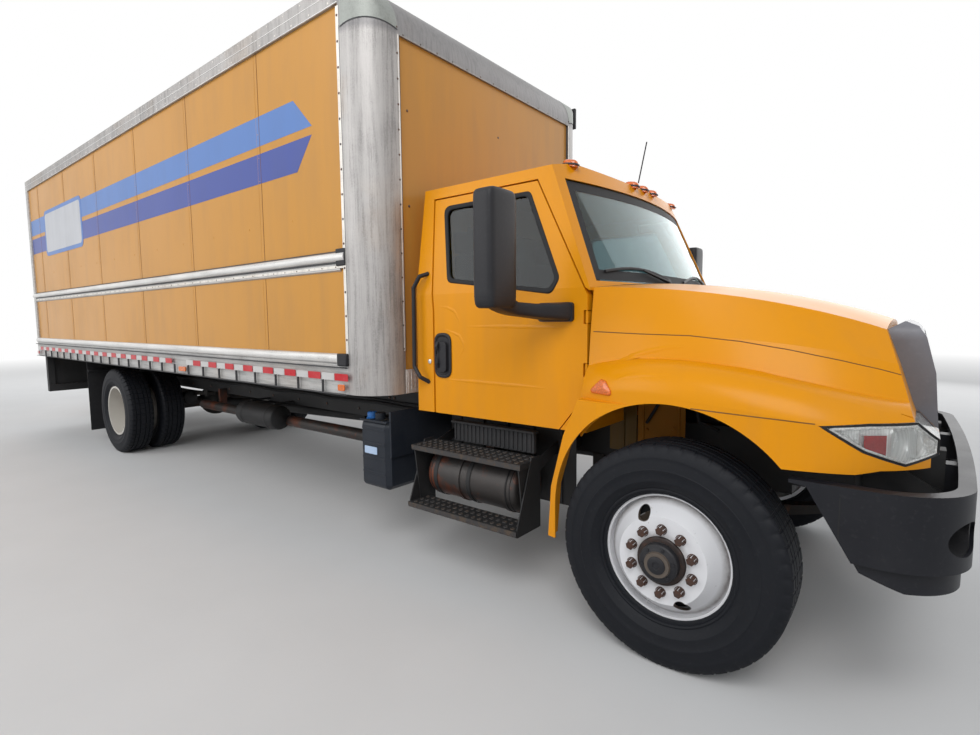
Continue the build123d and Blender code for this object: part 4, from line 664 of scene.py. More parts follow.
# Smooth caps over the two top corners with a seam below, and bright tread plates at the posts' feet
CAP_FOOT, CAP_TOP, CAP_BOW = 3392, 3664, 26
for side, hand in SIDES:
    for shape, rows in ((form, [k / 12 for k in range(13)]), (line, [-0.03, 0.0])):
        rings = []
        for share in rows:
            ring = []
            for k in range(15):
                angle = radians(-4 + 98 * k / 14)
                low = CAP_FOOT + CAP_BOW * sin(pi * k / 14)
                way = Vector((cos(angle), side * sin(angle), 0))
                start = mm(-2020, side * 1065, low + (CAP_TOP - low) * share) + way * 2
                place = tree("box_frame").ray_cast(start, -way)[0]
                ring.append((place or start - way * 1.75) + way * 0.0022)
            rings.append(ring)
        shape.sheet(rings)
    form.make(f"corner_cap_{hand}", "cap", crease=60)
    line.make(f"corner_cap_seam_{hand}", "joint", crease=60)
    form.box((-1800, 852, 1104), (-1786, 1040, 1262), side)
    for k in range(6):
        form.box((-1787, 866 + 31.2 * k, 1112), (-1784, 870 + 31.2 * k, 1254), side)
    for z in range(1120, 1249, 32):
        form.box((-1787, 860, z - 2), (-1784, 1032, z + 2), side)
    form.make(f"post_foot_plate_{hand}", "bright_rail", bevel=0.8)

# Rails along the box: ridges, bulges, grooves, riveted flanges, joints, tape and markers
RAIL_REAR, RAIL_FRONT = -9700, -2062
for side, hand in SIDES:
    out = (0, side, 0)
    form.box((RAIL_REAR, 1288, 3608), (-2060, 1297, 3613), side)
    form.box((RAIL_REAR, 1288, 3540), (-2060, 1297.5, 3545), side)
    form.make(f"top_rail_ridges_{hand}", "bright_rail", bevel=1.2)
    form.studs(37, (-2150, side * 1295, 3562), (-205, 0, 0), out, 6.5, 3.5)
    form.studs(37, (-2250, side * 1295, 3655), (-205, 0, 0), out, 5, 2.5, 6)
    form.make(f"top_rail_rivets_{hand}", "flange")
    for middle, half, swell, base in ((1334, 33, 20, 1290), (1999, 30, 22, 1289)):
        section = [(side * (base + swell * cos(a)), middle + half * sin(a))
                   for a in [radians(-90 + 15 * i) for i in range(13)]]
        section += [(side * (base - 4), middle + half), (side * (base - 4), middle - half)]
        form.prism(section, "x", RAIL_REAR, RAIL_FRONT)
    form.make(f"rub_bulges_{hand}", "bright_rail")
    for z0, z1, low, high in ((1275, 1283, 1300, 1319), (1958, 1969, 1285, 1292.5),
                              (2034, 2038, 1285, 1293), (1100, 1105, 1300, 1319.5)):
        form.box((RAIL_REAR, low, z0), (RAIL_FRONT, high, z1), side)
    form.make(f"rub_grooves_{hand}", "joint")
    form.box((RAIL_REAR, 1285, 1926), (RAIL_FRONT, 1294, 1945), side)
    form.make(f"mid_rail_flange_{hand}", "flange", bevel=0.8)
    form.studs(50, (-2160, side * 1294, 1935), (-151, 0, 0), out, 5, 3, 6)
    form.make(f"mid_rail_rivets_{hand}", "bolt")
    for x in range(-2326, -9227, -300):
        form.box((x - 1, 1300, 1106), (x + 1, 1318.9, 1190), side)
    form.make(f"rail_joints_{hand}", "joint")
    for k in (*range(8), *range(9, 25)):
        x = -2108 - 303 * k
        form.plate(oblong(x - 72, x + 72, 1193, 1240, 5, 2), side, 1317.5, 1319)
        pale.plate(oblong(x - 218, x - 76, 1193, 1240, 5, 2), side, 1317.5, 1319)
    form.make(f"tape_red_{hand}", "red_tape")
    pale.make(f"tape_white_{hand}", "white_tape")
    form.plate(oblong(-2141, -2071, 1127, 1170, 12, 3), side, 1316, 1326)
    form.plate(oblong(-4603, -4461, 1130, 1174, 12, 3), side, 1316, 1326)
    form.make(f"side_markers_{hand}", "amber", bevel=2.5)
    form.plate(oblong(-9610, -9520, 1130, 1174, 12, 3), side, 1316, 1326)
    form.make(f"rear_side_marker_{hand}", "red", bevel=2.5)
    form.box((-2152, 1284, 1290), (-2052, 1318, 1372), side)
    form.box((-2152, 1284, 1940), (-2052, 1302, 2052), side)
    form.make(f"rail_end_caps_{hand}", "trim", bevel=7)

# A small dark housing on the left post
form.box((-1913, 1255, 3406), (-1841, 1287, 3595))
form.make("post_housing", "trim", bevel=8)

# Rear frame: the door panels' gaps and hinges, seals, latch, handles, tape, grip bars and rivets
PANELS = [1240 + 432 * k for k in range(5)]
for z in PANELS[1:]:
    form.box((-9672, -1138, z - 3.5), (-9664, 1138, z + 3.5))
form.make("door_panel_gaps", "gap", slot="box_paint")
for z in PANELS[:-1]:
    for y in (-1085, -560, 0, 560, 1085):
        form.box((-9672, y - 26, z + 380), (-9666, y + 26, z + 452))
form.make("door_panel_hinges", "chrome", bevel=1.5)
for y in (-1140, 1130):
    form.box((-9685, y, 1240), (-9660, y + 10, 3400))
form.box((-9685, -1140, 3390), (-9660, 1140, 3400))
form.box((-9678, -1130, 1240), (-9660, 1130, 1262))
form.make("door_seals", "rubber", bevel=2)
form.prism(oblong(-190, 190, 1300, 1372, 18), "x", -9678, -9664)
form.make("latch_plate", "chrome", bevel=2)
form.tube([(-9682, -150, 1336), (-9696, -120, 1336), (-9698, 60, 1336), (-9684, 90, 1336)], 11)
form.turned([(34, -12), (34, 2), (26, 6), (0, 6)], (-9680, 110, 1336), BACKWARD, 20)
form.box((-9692, -30, 1264), (-9680, 30, 1312))
form.make("door_latch", "chrome", bevel=1.5)
for y in (-640, 640):
    form.tube([(-9680, y, 1330), (-9696, y, 1360), (-9696, y, 1500), (-9680, y, 1530)], 9)
form.make("door_pull_handles", "chrome")
for k in range(9):
    y = -1050 + 262 * k
    (form, pale)[k % 2].prism(oblong(y - 128, y + 128, 1175, 1222, 5, 2), "x", -9706.4, -9703)
form.make("rear_tape_red", "red_tape")
pale.make("rear_tape_white", "white_tape")
for k in range(38):
    y = -1180 + 63.7 * k
    form.box((-9686, y - 14, 638.5), (-9596, y + 14, 643.5))
form.make("bumper_grip", "tread", bevel=1.2)
for y in (-1275, -1160, 1160, 1275):
    form.studs(15, (-9705, y, 1300), (0, 0, 150), BACKWARD, 6, 3.5, 6)
form.make("rear_frame_rivets", "flange")

# Roof bows showing through the roof skin
for x in range(-2350, -9061, -610):
    form.sheet([[mm(x - 26, y, 3658.8), mm(x, y, 3661.8), mm(x + 26, y, 3658.8)] for y in (-1270, 1270)])
form.make("roof_bow_lines", "rail", crease=60)

# Wheels: treaded tyres, nuts on their studs, hubs, dark rings behind the front hand holes as painted shade,
# and valves
TYRE = [(98, 287), (101, 290), (102, 299), (112, 303), (115, 309), (113, 316), (130, 335), (135, 350),
        (137, 352), (137.5, 356), (137, 366), (139.3, 398), (140.3, 400), (140.3, 405), (138.7, 407),
        (135.5, 440), (133.5, 455), (134, 457), (133.5, 461), (128.5, 480), (124, 490), (118, 501),
        (112, 508), (104, 513)]
CROWN = (84, 76, 75, 66, 65, 50, 34, 33, 24, 23, 11)
GROOVES, GROOVE_DEPTH = ((65.5, 75.5), (23.5, 33.5)), 12
SHOULDER_Y, SHOULDER_R = 76, 486
PITCHES, NOTCH = 52, 0.79
STUD_RING = 142.9
REAR = (REAR_AXLE_X - FRONT_AXLE_X) * 1000


def about(axle_x, radius, angle, y):
    """A point at a radius and an angle about an axle."""
    return axle_x + radius * cos(angle), y, AXLE_Z * 1000 + radius * sin(angle)


def tyre(axle_x, middle, lug):
    """A carcass with moulded sidewall rings, four grooves and notched shoulder blocks."""
    half = TYRE + [(y, 514 + (84 - y) * 0.012) for y in CROWN]
    rings = []
    for k in range(PITCHES):
        for share in (0.0, NOTCH - 0.05, NOTCH, 0.95):
            ring = []
            for y, r in half + [(-y, r) for y, r in reversed(half)]:
                if any(low < abs(y) < high for low, high in GROOVES):
                    r -= GROOVE_DEPTH
                elif share >= NOTCH and r > SHOULDER_R:
                    r -= lug if abs(y) > SHOULDER_Y else lug * 0.6
                ring.append(mm(*about(axle_x, r, 2 * pi * (k + share) / PITCHES, middle + y)))
            rings.append(ring)
    form.loft(rings, caps=False, loop=True)


def nuts(axle_x, side, face):
    """Ten flanged hexagon nuts on their studs."""
    for k in range(10):
        centre = about(axle_x, STUD_RING, radians(18 + 36 * k), side * face)
        form.turned([(24, -2), (24, 2), (21, 4)], centre, (0, side, 0), 16)
        form.turned([(20.5, 0), (20.5, 28), (19, 31), (12.5, 31.2), (11, 33), (0, 33.5)],
                    centre, (0, side, 0), 6)


for side, hand in SIDES:
    out = (0, side, 0)
    front, rear = "front_wheel_" + hand, "rear_wheels_" + hand
    tyre(0, side * 1050, 3)
    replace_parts(form.make(f"front_tread_{hand}", "tyre", front, crease=28), f"front_tyre_{hand}")
    tyre(REAR, side * 1080, 9)
    tyre(REAR, side * 732, 9)
    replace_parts(form.make(f"rear_treads_{hand}", "tyre", rear, crease=28), f"rear_tyres_{hand}")
    nuts(0, side, 1194)
    form.make(f"front_nuts_{hand}", "nut", front)
    nuts(REAR, side, 924)
    form.make(f"rear_nuts_{hand}", "nut", rear)
    hub = about(0, 0, 0, side * 1194)
    form.turned([(109, -4), (109, 6), (104, 10), (88, 12), (87, 4)], hub, out, 40)
    form.make(f"front_hub_ring_{hand}", "hub", front, bevel=1)
    # A dark ring behind the front hand holes, standing in as painted shade inside the wheel
    form.turned([(183, -98), (183, -91), (196, -88), (238, -90), (238, -98)], hub, out, 48)
    form.make(f"front_hole_shade_plate_{hand}", "black", front)
    form.turned([(88, 6), (86, 38), (80, 44), (64, 47), (60, 50), (40, 53), (39, 64), (34, 67), (16, 67.5),
                 (15, 63), (0, 63)], hub, out, 40)
    for k in range(6):
        form.turned([(8, 0), (8, 6), (0, 7)], about(0, 70, pi / 3 * k + 0.2, side * 1239), out, 6)
    form.make(f"front_hub_{hand}", "trim", front, bevel=1)
    form.turned([(114, -2), (112, 20), (108, 90), (104, 96), (103, 112), (96, 118), (70, 121), (66, 126),
                 (40, 128), (38, 122), (0, 122)], about(REAR, 0, 0, side * 924), out, 40)
    for k in range(8):
        form.turned([(10, 0), (10, 10), (0, 11)], about(REAR, 86, pi / 4 * k, side * 1040), out, 6)
    form.make(f"rear_hub_{hand}", "hub", rear, bevel=1)
    for axle_x, name, face, body in ((0, "front", 1150, front), (REAR, "rear", 1110, rear)):
        x, y, z = about(axle_x, 240, radians(250), side * (face - 22))
        form.tube([(x, y, z), (x + 3, side * face, z - 8)], 4.5, 8)
        form.make(f"{name}_valve_{hand}", "chrome", body)

# Hood: seams, pressed creases and the amber marker on the fender
HOOD_SEAMS = ([(-436, 1522), (-192, 1512), (41, 1506), (247, 1484), (433, 1451), (604, 1412), (733, 1378),
               (800, 1356), (838, 1343)], [(112, 1208), (304, 1199), (443, 1192), (557, 1184)])
HOOD_CREASES = ([(-330, 1335), (-278, 1374), (-220, 1408), (-134, 1434), (-48, 1452), (60, 1462)],
                [(-255, 1300), (-191, 1325), (-111, 1339), (-25, 1345), (60, 1345)],
                [(-25, 1374), (70, 1377), (170, 1372), (271, 1358), (350, 1344), (470, 1310), (589, 1282),
                 (704, 1248), (803, 1217), (844, 1203)])
MARKER = rounded([(-402, 1231), (-262, 1228), (-258, 1248), (-296, 1294), (-324, 1300)], 16, 4)
MARKER_HEIGHT = 10
for side, hand in SIDES:
    toward = (0, -side, 0)
    for path in HOOD_SEAMS:
        ribbon(form, "hood_shell", on_side(path, side), toward, 5)
    form.make(f"hood_seams_{hand}", "seam", "hood", slot="cab_paint")
    for path in HOOD_CREASES:
        bead(form, "hood_shell", on_side(path, side, 30), toward, 34, 3.2)
    form.make(f"hood_creases_{hand}", "cab", "hood", crease=80)
    middle = sum((Vector(p) for p in MARKER), Vector((0, 0))) / len(MARKER)
    rings = []
    for share, lift in ((1.0, -0.4), (1.0, 0.5), (0.93, 0.85), (0.8, 1), (0.05, 1)):
        loop = [middle.lerp(Vector(p), share) for p in MARKER]
        rings.append(drape("hood_shell", [(x, side * 1300, z) for x, z in loop], toward,
                           lift * MARKER_HEIGHT, fill=True))
    form.loft(rings)
    form.make(f"fender_marker_{hand}", "amber", "hood", bevel=4)

# Wheel arch: yellow inner panels, their colour darkened as painted shade, with ribs and clips, a liner
# behind and two hoses
for side, hand in SIDES:
    form.plate([(-386, 880), (-118, 900), (-118, 1290), (-150, 1330), (-360, 1330), (-386, 1300)], side,
               560, 566)
    for x, low in ((-150, 930), (-352, 900)):
        form.tube([(x, side * 566, z) for z in (low, (low + 1290) / 2, 1290)], 7, 8)
    for x, z in ((-330, 1240), (-330, 960), (-180, 1240), (-180, 980)):
        form.dome((x, side * 566, z), (0, side, 0), 11, 6)
    form.make(f"arch_panels_{hand}", "inner", bevel=3)
    form.plate([(-560, 820), (-392, 820), (-392, 1170), (-440, 1185), (-560, 1185)], side, 556, 563)
    form.tube([(-470, side * 563, z) for z in (840, 1000, 1160)], 8, 8)
    form.make(f"arch_liners_{hand}", "liner", bevel=3)
    form.tube([(-120, side * 575, 1200), (-60, side * 580, 1130), (-40, side * 580, 1040),
               (60, side * 575, 1000)], 11, 8)
    form.tube([(-330, side * 575, 1000), (-250, side * 590, 1130), (-190, side * 590, 1240)], 9, 8)
    form.make(f"arch_hoses_{hand}", "rubber")

# Headlamps: a clear lens over one reflector whose zones, by their run from the tip, are dished
LAMP = [(566, 1178), (720, 1192), (862, 1192), (930, 1120), (930, 1060), (830, 1028), (705, 1082)]
ARM = [(905, 768), (742, 893), (742, 950), (822, 1048), (852, 1048), (852, 1032), (789, 925), (958, 822),
       (966, 790), (935, 768)]
ZONES = ((0, 116, 4), (126, 214, 10), (224, 330, 46), (340, 560, 52), (570, 800, 46))
RED_ZONE = ZONES[1]
TIP, TURN_Y, LAMP_FOOT, LAMP_HEIGHT = 566, 985, 1030, 162
COLUMNS, ROWS = 96, 40
form.bm.from_mesh(NODES["lamp_lenses"].data)
rear = [v for v in form.bm.verts if v.co.x < FRONT_AXLE_X + 0.2]
bmesh.ops.delete(form.bm, geom=rear, context="VERTS")
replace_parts(form.make("lamp_lens", "clear", "hood", crease=50), "lamp_lenses", "headlamp_bowls")
red = Form()
for side, hand in SIDES:
    grid = []
    for j in range(ROWS + 1):
        z = LAMP_FOOT + LAMP_HEIGHT * j / ROWS
        row = []
        for i in range(COLUMNS + 1):
            angle = radians(104 - 104 * i / COLUMNS)
            way = Vector((cos(angle), side * sin(angle), 0))
            place = tree("lamp_lenses").ray_cast(mm(600, side * 620, z), way)[0]
            if place is None or place.x < FRONT_AXLE_X + 0.3:
                row.append(None)
                continue
            x, y, _ = to_mm(place)
            run = x - TIP + max(0.0, TURN_Y - abs(y))
            depth, tinted = 3.0, False
            for zone in ZONES:
                low, high, dish = zone
                if low < run < high:
                    u = 2 * (run - low) / (high - low) - 1
                    v = 2 * (z - LAMP_FOOT - 2) / (LAMP_HEIGHT - 6) - 1
                    depth = 6 + dish * max(0.0, 1 - u * u) ** 0.5 * max(0.1, 1 - v * v)
                    tinted = zone is RED_ZONE and abs(u) < 0.86 and 1062 < z < 1150
            row.append((form.bm.verts.new(place - way * depth / 1000), place, tinted))
        grid.append(row)
    middle = mm(600, side * 620, 1100)
    for low, high in zip(grid, grid[1:]):
        for i in range(COLUMNS):
            corners = (low[i], low[i + 1], high[i + 1], high[i])
            if all(corners):
                form.bm.faces.new([c[0] for c in corners])
                if all(c[2] for c in corners):
                    red.bm.faces.new([red.bm.verts.new(c[1] + (middle - c[1]).normalized() * 0.002)
                                      for c in corners])
    form.make(f"lamp_bowl_{hand}", "lamp_chrome", "hood", crease=40)
    bmesh.ops.remove_doubles(red.bm, verts=red.bm.verts, dist=0.0002)
    red.make(f"lamp_red_block_{hand}", "red", "hood", crease=60)
    for name, look, by, width, lift in (("gasket", "rubber", 6, 10, 0.8),
                                        ("bezel", "white_lens", 15, 9, 0.4)):
        rim = inset(LAMP, by)
        ribbon(form, "lamp_lenses", on_side(rim + rim[:1], side, 12), (0, -side, 0), width, lift)
        form.make(f"lamp_{name}_{hand}", look, "hood", crease=60)
    form.prism(inset(ARM, -1.5), "y", side * 480 - 11.5, side * 480 + 11.5)
    form.make(f"hood_arm_cover_{hand}", "black", "hood")

# Windscreen: black printed border and wipers, laid on the glass
OPENING = [(945, 1780), (862, 2345), (-862, 2345), (-945, 1780)]
loops = []
for by in (8, 35, 62):
    loop = inset(OPENING, by)
    loops.append(spread([(1200, y, z) for y, z in loop + loop[:1]], 40)[:-1])
count = min(len(path) for path in loops)
rings = []
for path in loops:
    even = [path[int(i * len(path) / count)] for i in range(count)]
    rings.append(drape("cab_glass", even, BACKWARD, 0.9, fill=True))
form.loft(rings, caps=False)
form.make("screen_border", "rubber", crease=60)
for y0, y1, pivot in ((-840, -160, -230), (60, 760, 690)):
    blade = []
    for i in range(9):
        t = i / 8
        z = 1806 + 40 * sin(pi * t) + 26 * (t if pivot > 0 else 1 - t)
        blade.append((1200, y0 + (y1 - y0) * t, z))
    form.tube([to_mm(p) for p in drape("cab_glass", blade, BACKWARD, 9)], 5.5, 8, 1.6)
    ends = [to_mm(drape("cab_glass", [(1200, y, z)], BACKWARD, lift)[0])
            for y, z, lift in ((pivot, 1790, 22), ((y0 + y1) / 2, 1846, 24))]
    form.tube(ends, [11, 6], 8)
    form.turned([(17, -12), (17, 6), (10, 10), (0, 11)], ends[0], (1, 0, 0.6), 16)
form.make("wipers", "trim")

# Cab: roof seam, window rubbers, door creases, locks and handles
ribbon(form, "cab_shell", [(1200, y, 2372) for y in range(-850, 851, 50)], (-1, 0, -0.2), 5)
form.make("roof_seam", "gap")
WINDOW = [(-690, 1735), (-1425, 1830), (-1500, 2275), (-880, 2275), (-655, 1800)]
DOOR_CREASES = ([(-1330, 1546), (-971, 1546), (-663, 1541), (-478, 1535)],
                [(-1500, 1668), (-1436, 1663), (-1375, 1639), (-1338, 1582), (-1323, 1537)],
                [(-1480, 1530), (-1424, 1519), (-1339, 1492), (-1295, 1430), (-1326, 1378), (-1365, 1330)],
                [(-1530, 1218), (-1100, 1216), (-640, 1214)])
SKIN = 1016
HEAD_X, HEAD_Y, HEAD_FOOT, HEAD_HEIGHT = -745, 1417.5, 1640, 550
HEAD_HALF_X, HEAD_HALF_Y = 60, 107


def cab_side(z):
    """Half the cab's width at a height."""
    return SKIN - max(0.0, 0.1473 * (z - 1745))


def head_ring(half_x, half_y, z):
    """A level ring round a mirror's head, square with soft corners."""
    return [mm(HEAD_X + half_x * bent(cos(a), 0.4), side * (HEAD_Y + half_y * bent(sin(a), 0.3)), z)
            for a in turns(32)]


for side, hand in SIDES:
    door = "door_" + hand
    loops = []
    for by, out in ((-17, 1), (-12, 7), (2, 8), (9, 4), (10, -6)):
        loop = rounded(inset(WINDOW, by), 48, 6)
        loops.append([mm(x, side * (cab_side(z) + out), z) for x, z in loop])
    form.loft(loops, caps=False)
    form.make(f"window_rubber_{hand}", "rubber", door)
    for path in DOOR_CREASES:
        bead(form, door, on_side(path, side, 24), (0, -side, 0), 30, 3)
    form.make(f"door_creases_{hand}", "cab", door, crease=80)
    form.turned([(15, -4), (15, 4), (12, 6), (4, 6.5), (3, 3), (0, 3)], (-1589, side * SKIN, 1324),
                (0, side, 0), 20)
    form.make(f"door_lock_{hand}", "chrome", door)
    oval = oblong(-1542, -1402, 1226, 1506, 62, 8)
    form.loft([[mm(x, side * (SKIN + out), z) for x, z in loop] for loop, out in (
        (oval, -4), (oval, 9), (oblong(-1530, -1414, 1240, 1492, 52, 8), 11),
        (oblong(-1524, -1420, 1248, 1484, 48, 8), 3))])
    form.plate(oblong(-1512, -1432, 1262, 1452, 30, 6), side, SKIN + 2, SKIN + 22)
    form.tube([(-1500, side * (SKIN + out), z)
               for out, z in ((20, 1290), (34, 1320), (34, 1420), (20, 1450))], 12, 10)
    form.make(f"handle_{hand}", "trim", door, bevel=3)

    # Mirror: rounded head, tapered arm and foot, a parting line, and two panes
    form.loft([head_ring(HEAD_HALF_X * (0.5 + 0.5 * scale), HEAD_HALF_Y * scale,
                         HEAD_FOOT + HEAD_HEIGHT * t) for t, scale in (
        (0, 0.72), (0.012, 0.86), (0.035, 0.95), (0.07, 0.985), (0.14, 1), (0.5, 1), (0.9, 1),
        (0.95, 0.985), (0.975, 0.95), (0.992, 0.87), (1, 0.76))])
    form.loft([[mm(x, side * y, z) for x, z in oblong(*limits, 22, 4)] for y, *limits in (
        (1034, -748, -552, 1576, 1668), (1062, -742, -562, 1582, 1668), (1110, -745, -585, 1586, 1664),
        (1200, -765, -640, 1596, 1664), (1290, -790, -690, 1606, 1672), (1350, -800, -696, 1618, 1700),
        (1410, -798, -694, 1634, 1730), (1440, -790, -700, 1648, 1730))])
    form.plate(oblong(-755, -545, 1572, 1672, 20), side, 1012, 1036)
    form.loft([head_ring(HEAD_HALF_X + grow, HEAD_HALF_Y + grow, z)
               for z, grow in ((1693, 0.1), (1693, 0.4), (1697, 0.4), (1697, 0.1))], caps=False)
    mirror = form.make(f"mirror_{hand}", "trim", door, crease=50, bevel=3)
    low, high = sorted((side * 1340, side * 1494))
    for z0, z1 in ((1764, 2168), (1668, 1742)):
        form.prism(oblong(low, high, z0, z1, 26, 5), "x", -805.5, -800)
    form.make(f"mirror_glass_{hand}", "chrome", door)
    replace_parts(mirror, f"door_fittings_{hand}")

# Steps: perforated grip rings, ribbed battery boxes, brackets, canister straps and backing
for side, hand in SIDES:
    for top, near, far, rows in ((800, 930, 1130, 4), (440, 1010, 1170, 3)):
        for i in range(17):
            for j in range(rows):
                y = near + 26 + (far - near - 52) * j / (rows - 1)
                form.turned([(15, -0.5), (14, 3.5), (9.5, 4), (9, 0.4), (0, 0.2)],
                            (-1610 + 47.5 * i, side * y, top), UP, 10)
        form.box((-1652, far, top - 30), (-808, far + 4, top - 2), side)
form.make("step_grips", "tread")
for side, hand in SIDES:
    form.box((-1490, 880, 808), (-870, 905, 932), side)
    for k in range(19):
        x = -1476 + 32.4 * k
        form.box((x - 7, 903, 816), (x + 7, 912, 924), side)
    form.box((-1500, 870, 926), (-860, 925, 940), side)
    form.make(f"battery_box_{hand}", "battery", bevel=2)
    bracket = ((930, 400), (1160, 400), (1160, 445), (1022, 815), (930, 815))
    for x in (-1648, -812):
        form.prism([(side * y, z) for y, z in bracket], "x", x - 4, x + 4)
    form.make(f"step_brackets_{hand}", "black", bevel=1.5)
for x in (-1520, -1250, -980):
    form.turned([(153, -16), (156, -12), (156, 12), (153, 16)], (x, -905, 600), FORWARD, 48)
    form.box((x - 18, -930, 738), (x + 18, -880, 766))
for x in (-1560, -940):
    form.turned([(151, -3), (153.5, 0), (151, 3)], (x, -905, 600), FORWARD, 48)
form.make("canister_straps", "black")
for side, hand in SIDES:
    form.box((-1690, 706, 470), (-700, 712, 1000), side)
    for x in range(-1600, -799, 200):
        form.box((x - 12, 712, 480), (x + 12, 724, 990), side)
form.make("step_backing", "black", bevel=2)

# Fluid tank: moulded ribs, filler cap, blank label and straps
for z in (560, 660, 760, 860):
    form.prism(oblong(-2120, -1890, z - 10, z + 10, 9), "y", -1153.5, -1149)
form.prism(oblong(-2142, -1868, 905, 920, 6), "y", -1154, -1140)
form.make("tank_ribs", "tank", bevel=2)
form.turned([(40, 0), (40, 8), (35, 12), (34, 42), (30, 48), (0, 50)], (-2084, -1088, 914), UP, 28)
form.make("tank_cap", "blue_cap")
form.prism(oblong(-2092, -1965, 687, 737, 6), "y", -1156, -1153)
form.make("tank_label", "label")
for x in (-2060, -1950):
    form.box((x - 20, -1152, 914), (x + 20, -780, 919))
form.make("tank_straps", "black", bevel=1)

# Chassis: air tanks with straps, brake chambers, frame bolts and cable looms
for side, x0, x1, z, r in ((-1, -4750, -4000, 640, 120), (1, -4000, -3400, 620, 115)):
    ends = [(0, 0), (r * 0.6, 8), (r * 0.92, 30), (r, 60)]
    form.turned(ends + [(radius, x1 - x0 - along) for radius, along in reversed(ends)],
                (x0, side * 640, z), FORWARD, 36)
    for x in (x0 + 150, x1 - 150):
        form.turned([(r + 1, -16), (r + 3, -14), (r + 3, 14), (r + 1, 16)], (x, side * 640, z), FORWARD, 36)
        form.box((x - 16, 430, z + r - 4), (x + 16, 640, z + r + 14), side)
form.make("air_tanks", "black")
for side, hand in SIDES:
    form.turned([(78, 0), (82, 6), (82, 60), (88, 64), (88, 72), (82, 76), (80, 140), (60, 150), (0, 152)],
                (REAR + 215, side * 470, 610), (1, 0, 0.12), 32)
    form.tube([(REAR + 215, side * 470, 610), (REAR + 90, side * 470, 600),
               (REAR + 60, side * 500, 560)], 12)
form.make("brake_chambers", "black")
for side, hand in SIDES:
    for x, z in ((-2600, 800), (-2600, 930), (-2660, 930)):
        form.studs(14, (x, side * 432, z), (-480, 0, 0), (0, side, 0), 13, 9, 6)
form.make("frame_bolts", "bolt")
for side, z in ((-1, 870), (1, 850)):
    for y, up, sway, beat, start, radius in ((444, 0, 9, 1.9, 0, 15), (442, 36, 7, 1.3, 1, 9)):
        form.tube([(-1500 - 330 * k, side * y, z + up + sway * sin(beat * k + start)) for k in range(24)],
                  radius, 8)
form.make("frame_loom", "rubber")

# Bumper: side seams, black cups in its two openings, and baffles beside the radiator
CORNER_RADIUS = 258      # the bumper's corner in plan, which the cups' rims follow
RIM_SHIFT, RIM_BACK = 32, 226
for side, hand in SIDES:
    ribbon(form, "front_bumper", [(650, side * 1500, z) for z in range(750, 945, 20)], (0, -side, 0), 5)
form.make("bumper_seams", "rubber")
for side, hand in SIDES:
    ahead = Vector((1, side * 0.55, 0)).normalized()
    aside = Vector((-abs(ahead.y), side * ahead.x, 0))
    cup = []
    for wide, high, depth in ((96, 54, -52), (107, 64, 0), (112, 69, 0), (101, 59, -55)):
        ring = []
        for a in turns(32):
            u, v = wide * cos(a), high * sin(a)
            reach = depth or sqrt(CORNER_RADIUS ** 2 - (u - RIM_SHIFT) ** 2) - RIM_BACK
            ring.append(mm(*(Vector((980, side * 980, 805 + v)) + aside * u + ahead * reach)))
        cup.append(ring)
    form.loft(cup)
form.make("fog_lamp_cups", "rubber")
for side, hand in SIDES:
    form.box((666, 434, 770), (670, 800, 1040), side)
form.make("radiator_baffles", "black", bevel=1)

# Insect screen across the hood's opening, behind the grille
SCREEN = ((888, 530, 1044), (891, 531, 1052), (829, 552, 1215), (777, 576, 1390), (741, 590, 1496))
form.sheet([[mm(x, y, z) for y in (-half, half)] for x, half, z in SCREEN])
form.make("grille_screen", "rubber", "hood", solid=3)

# Roof markers and rear lamps, replacing the plain blocks
foot = Form()
for setback, y in ((-618, -150), (-618, 0), (-618, 150), (-712, -756), (-712, 756)):
    roof = tree("cab_shell").ray_cast(mm(setback, y, 3000), Vector((0, 0, -1)))[0].z * 1000
    for shape, grow, height in ((foot, 1.12, 9), (form, 1.0, 27)):
        rings = []
        for share, up in ((1.0, -0.5), (0.97, 0.35), (0.85, 0.75), (0.6, 0.95), (0.05, 1.0)):
            ring = []
            for a in turns(24):
                x = setback - 8 + 46 * grow * share * cos(a)
                across = y + 30 * grow * share * bent(sin(a), 0.7)
                ring.append(mm(x, across, roof + height * up - (x - setback) * 0.18))
            rings.append(ring)
        shape.loft(rings)
lamps = form.make("roof_marker_lenses", "amber", crease=60)
foot.make("roof_marker_bases", "trim", crease=60)
for y, z, r in [(y, 3590, 30) for y in (0, -160, 160, -1190, 1190)] + [
        (y, z, 52) for y in (-1215, 1215) for z in (1330, 1480)]:
    form.turned([(r * 0.86, -4), (r * 0.84, 5), (r * 0.7, 7.5), (0, 8.5)], (-9705, y, z), BACKWARD)
    foot.turned([(r + 4, -2), (r + 4, 3), (r, 5.5), (r * 0.87, 4), (r * 0.86, 0)], (-9705, y, z), BACKWARD)
form.make("rear_lamp_lenses", "red")
foot.make("rear_lamp_grommets", "rubber")
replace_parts(lamps, "marker_lamps")


# Cab interior: dashboard with vents, steering wheel, door cards and seats
def pod(form, low, high, square=0.5, lean=0.0):
    """A crowned cushion whose sides pull in between its corners."""
    middle = [(a + b) / 2 for a, b in zip(low, high)]
    half = [(b - a) / 2 for a, b in zip(low, high)]
    rows, sides = 14, 28
    rings = []
    for i in range(rows + 1):
        v = -pi / 2 + pi * i / rows
        up = bent(sin(v), square)
        ring = []
        for a in turns(sides):
            pull = max(abs(cos(v)), 0.02) ** square * (1 - 0.035 * cos(2 * a) ** 2)
            ring.append(mm(middle[0] + half[0] * bent(cos(a), square) * pull - lean * up,
                           middle[1] + half[1] * bent(sin(a), square) * pull, middle[2] + half[2] * up))
        rings.append(ring)
    form.loft(rings)


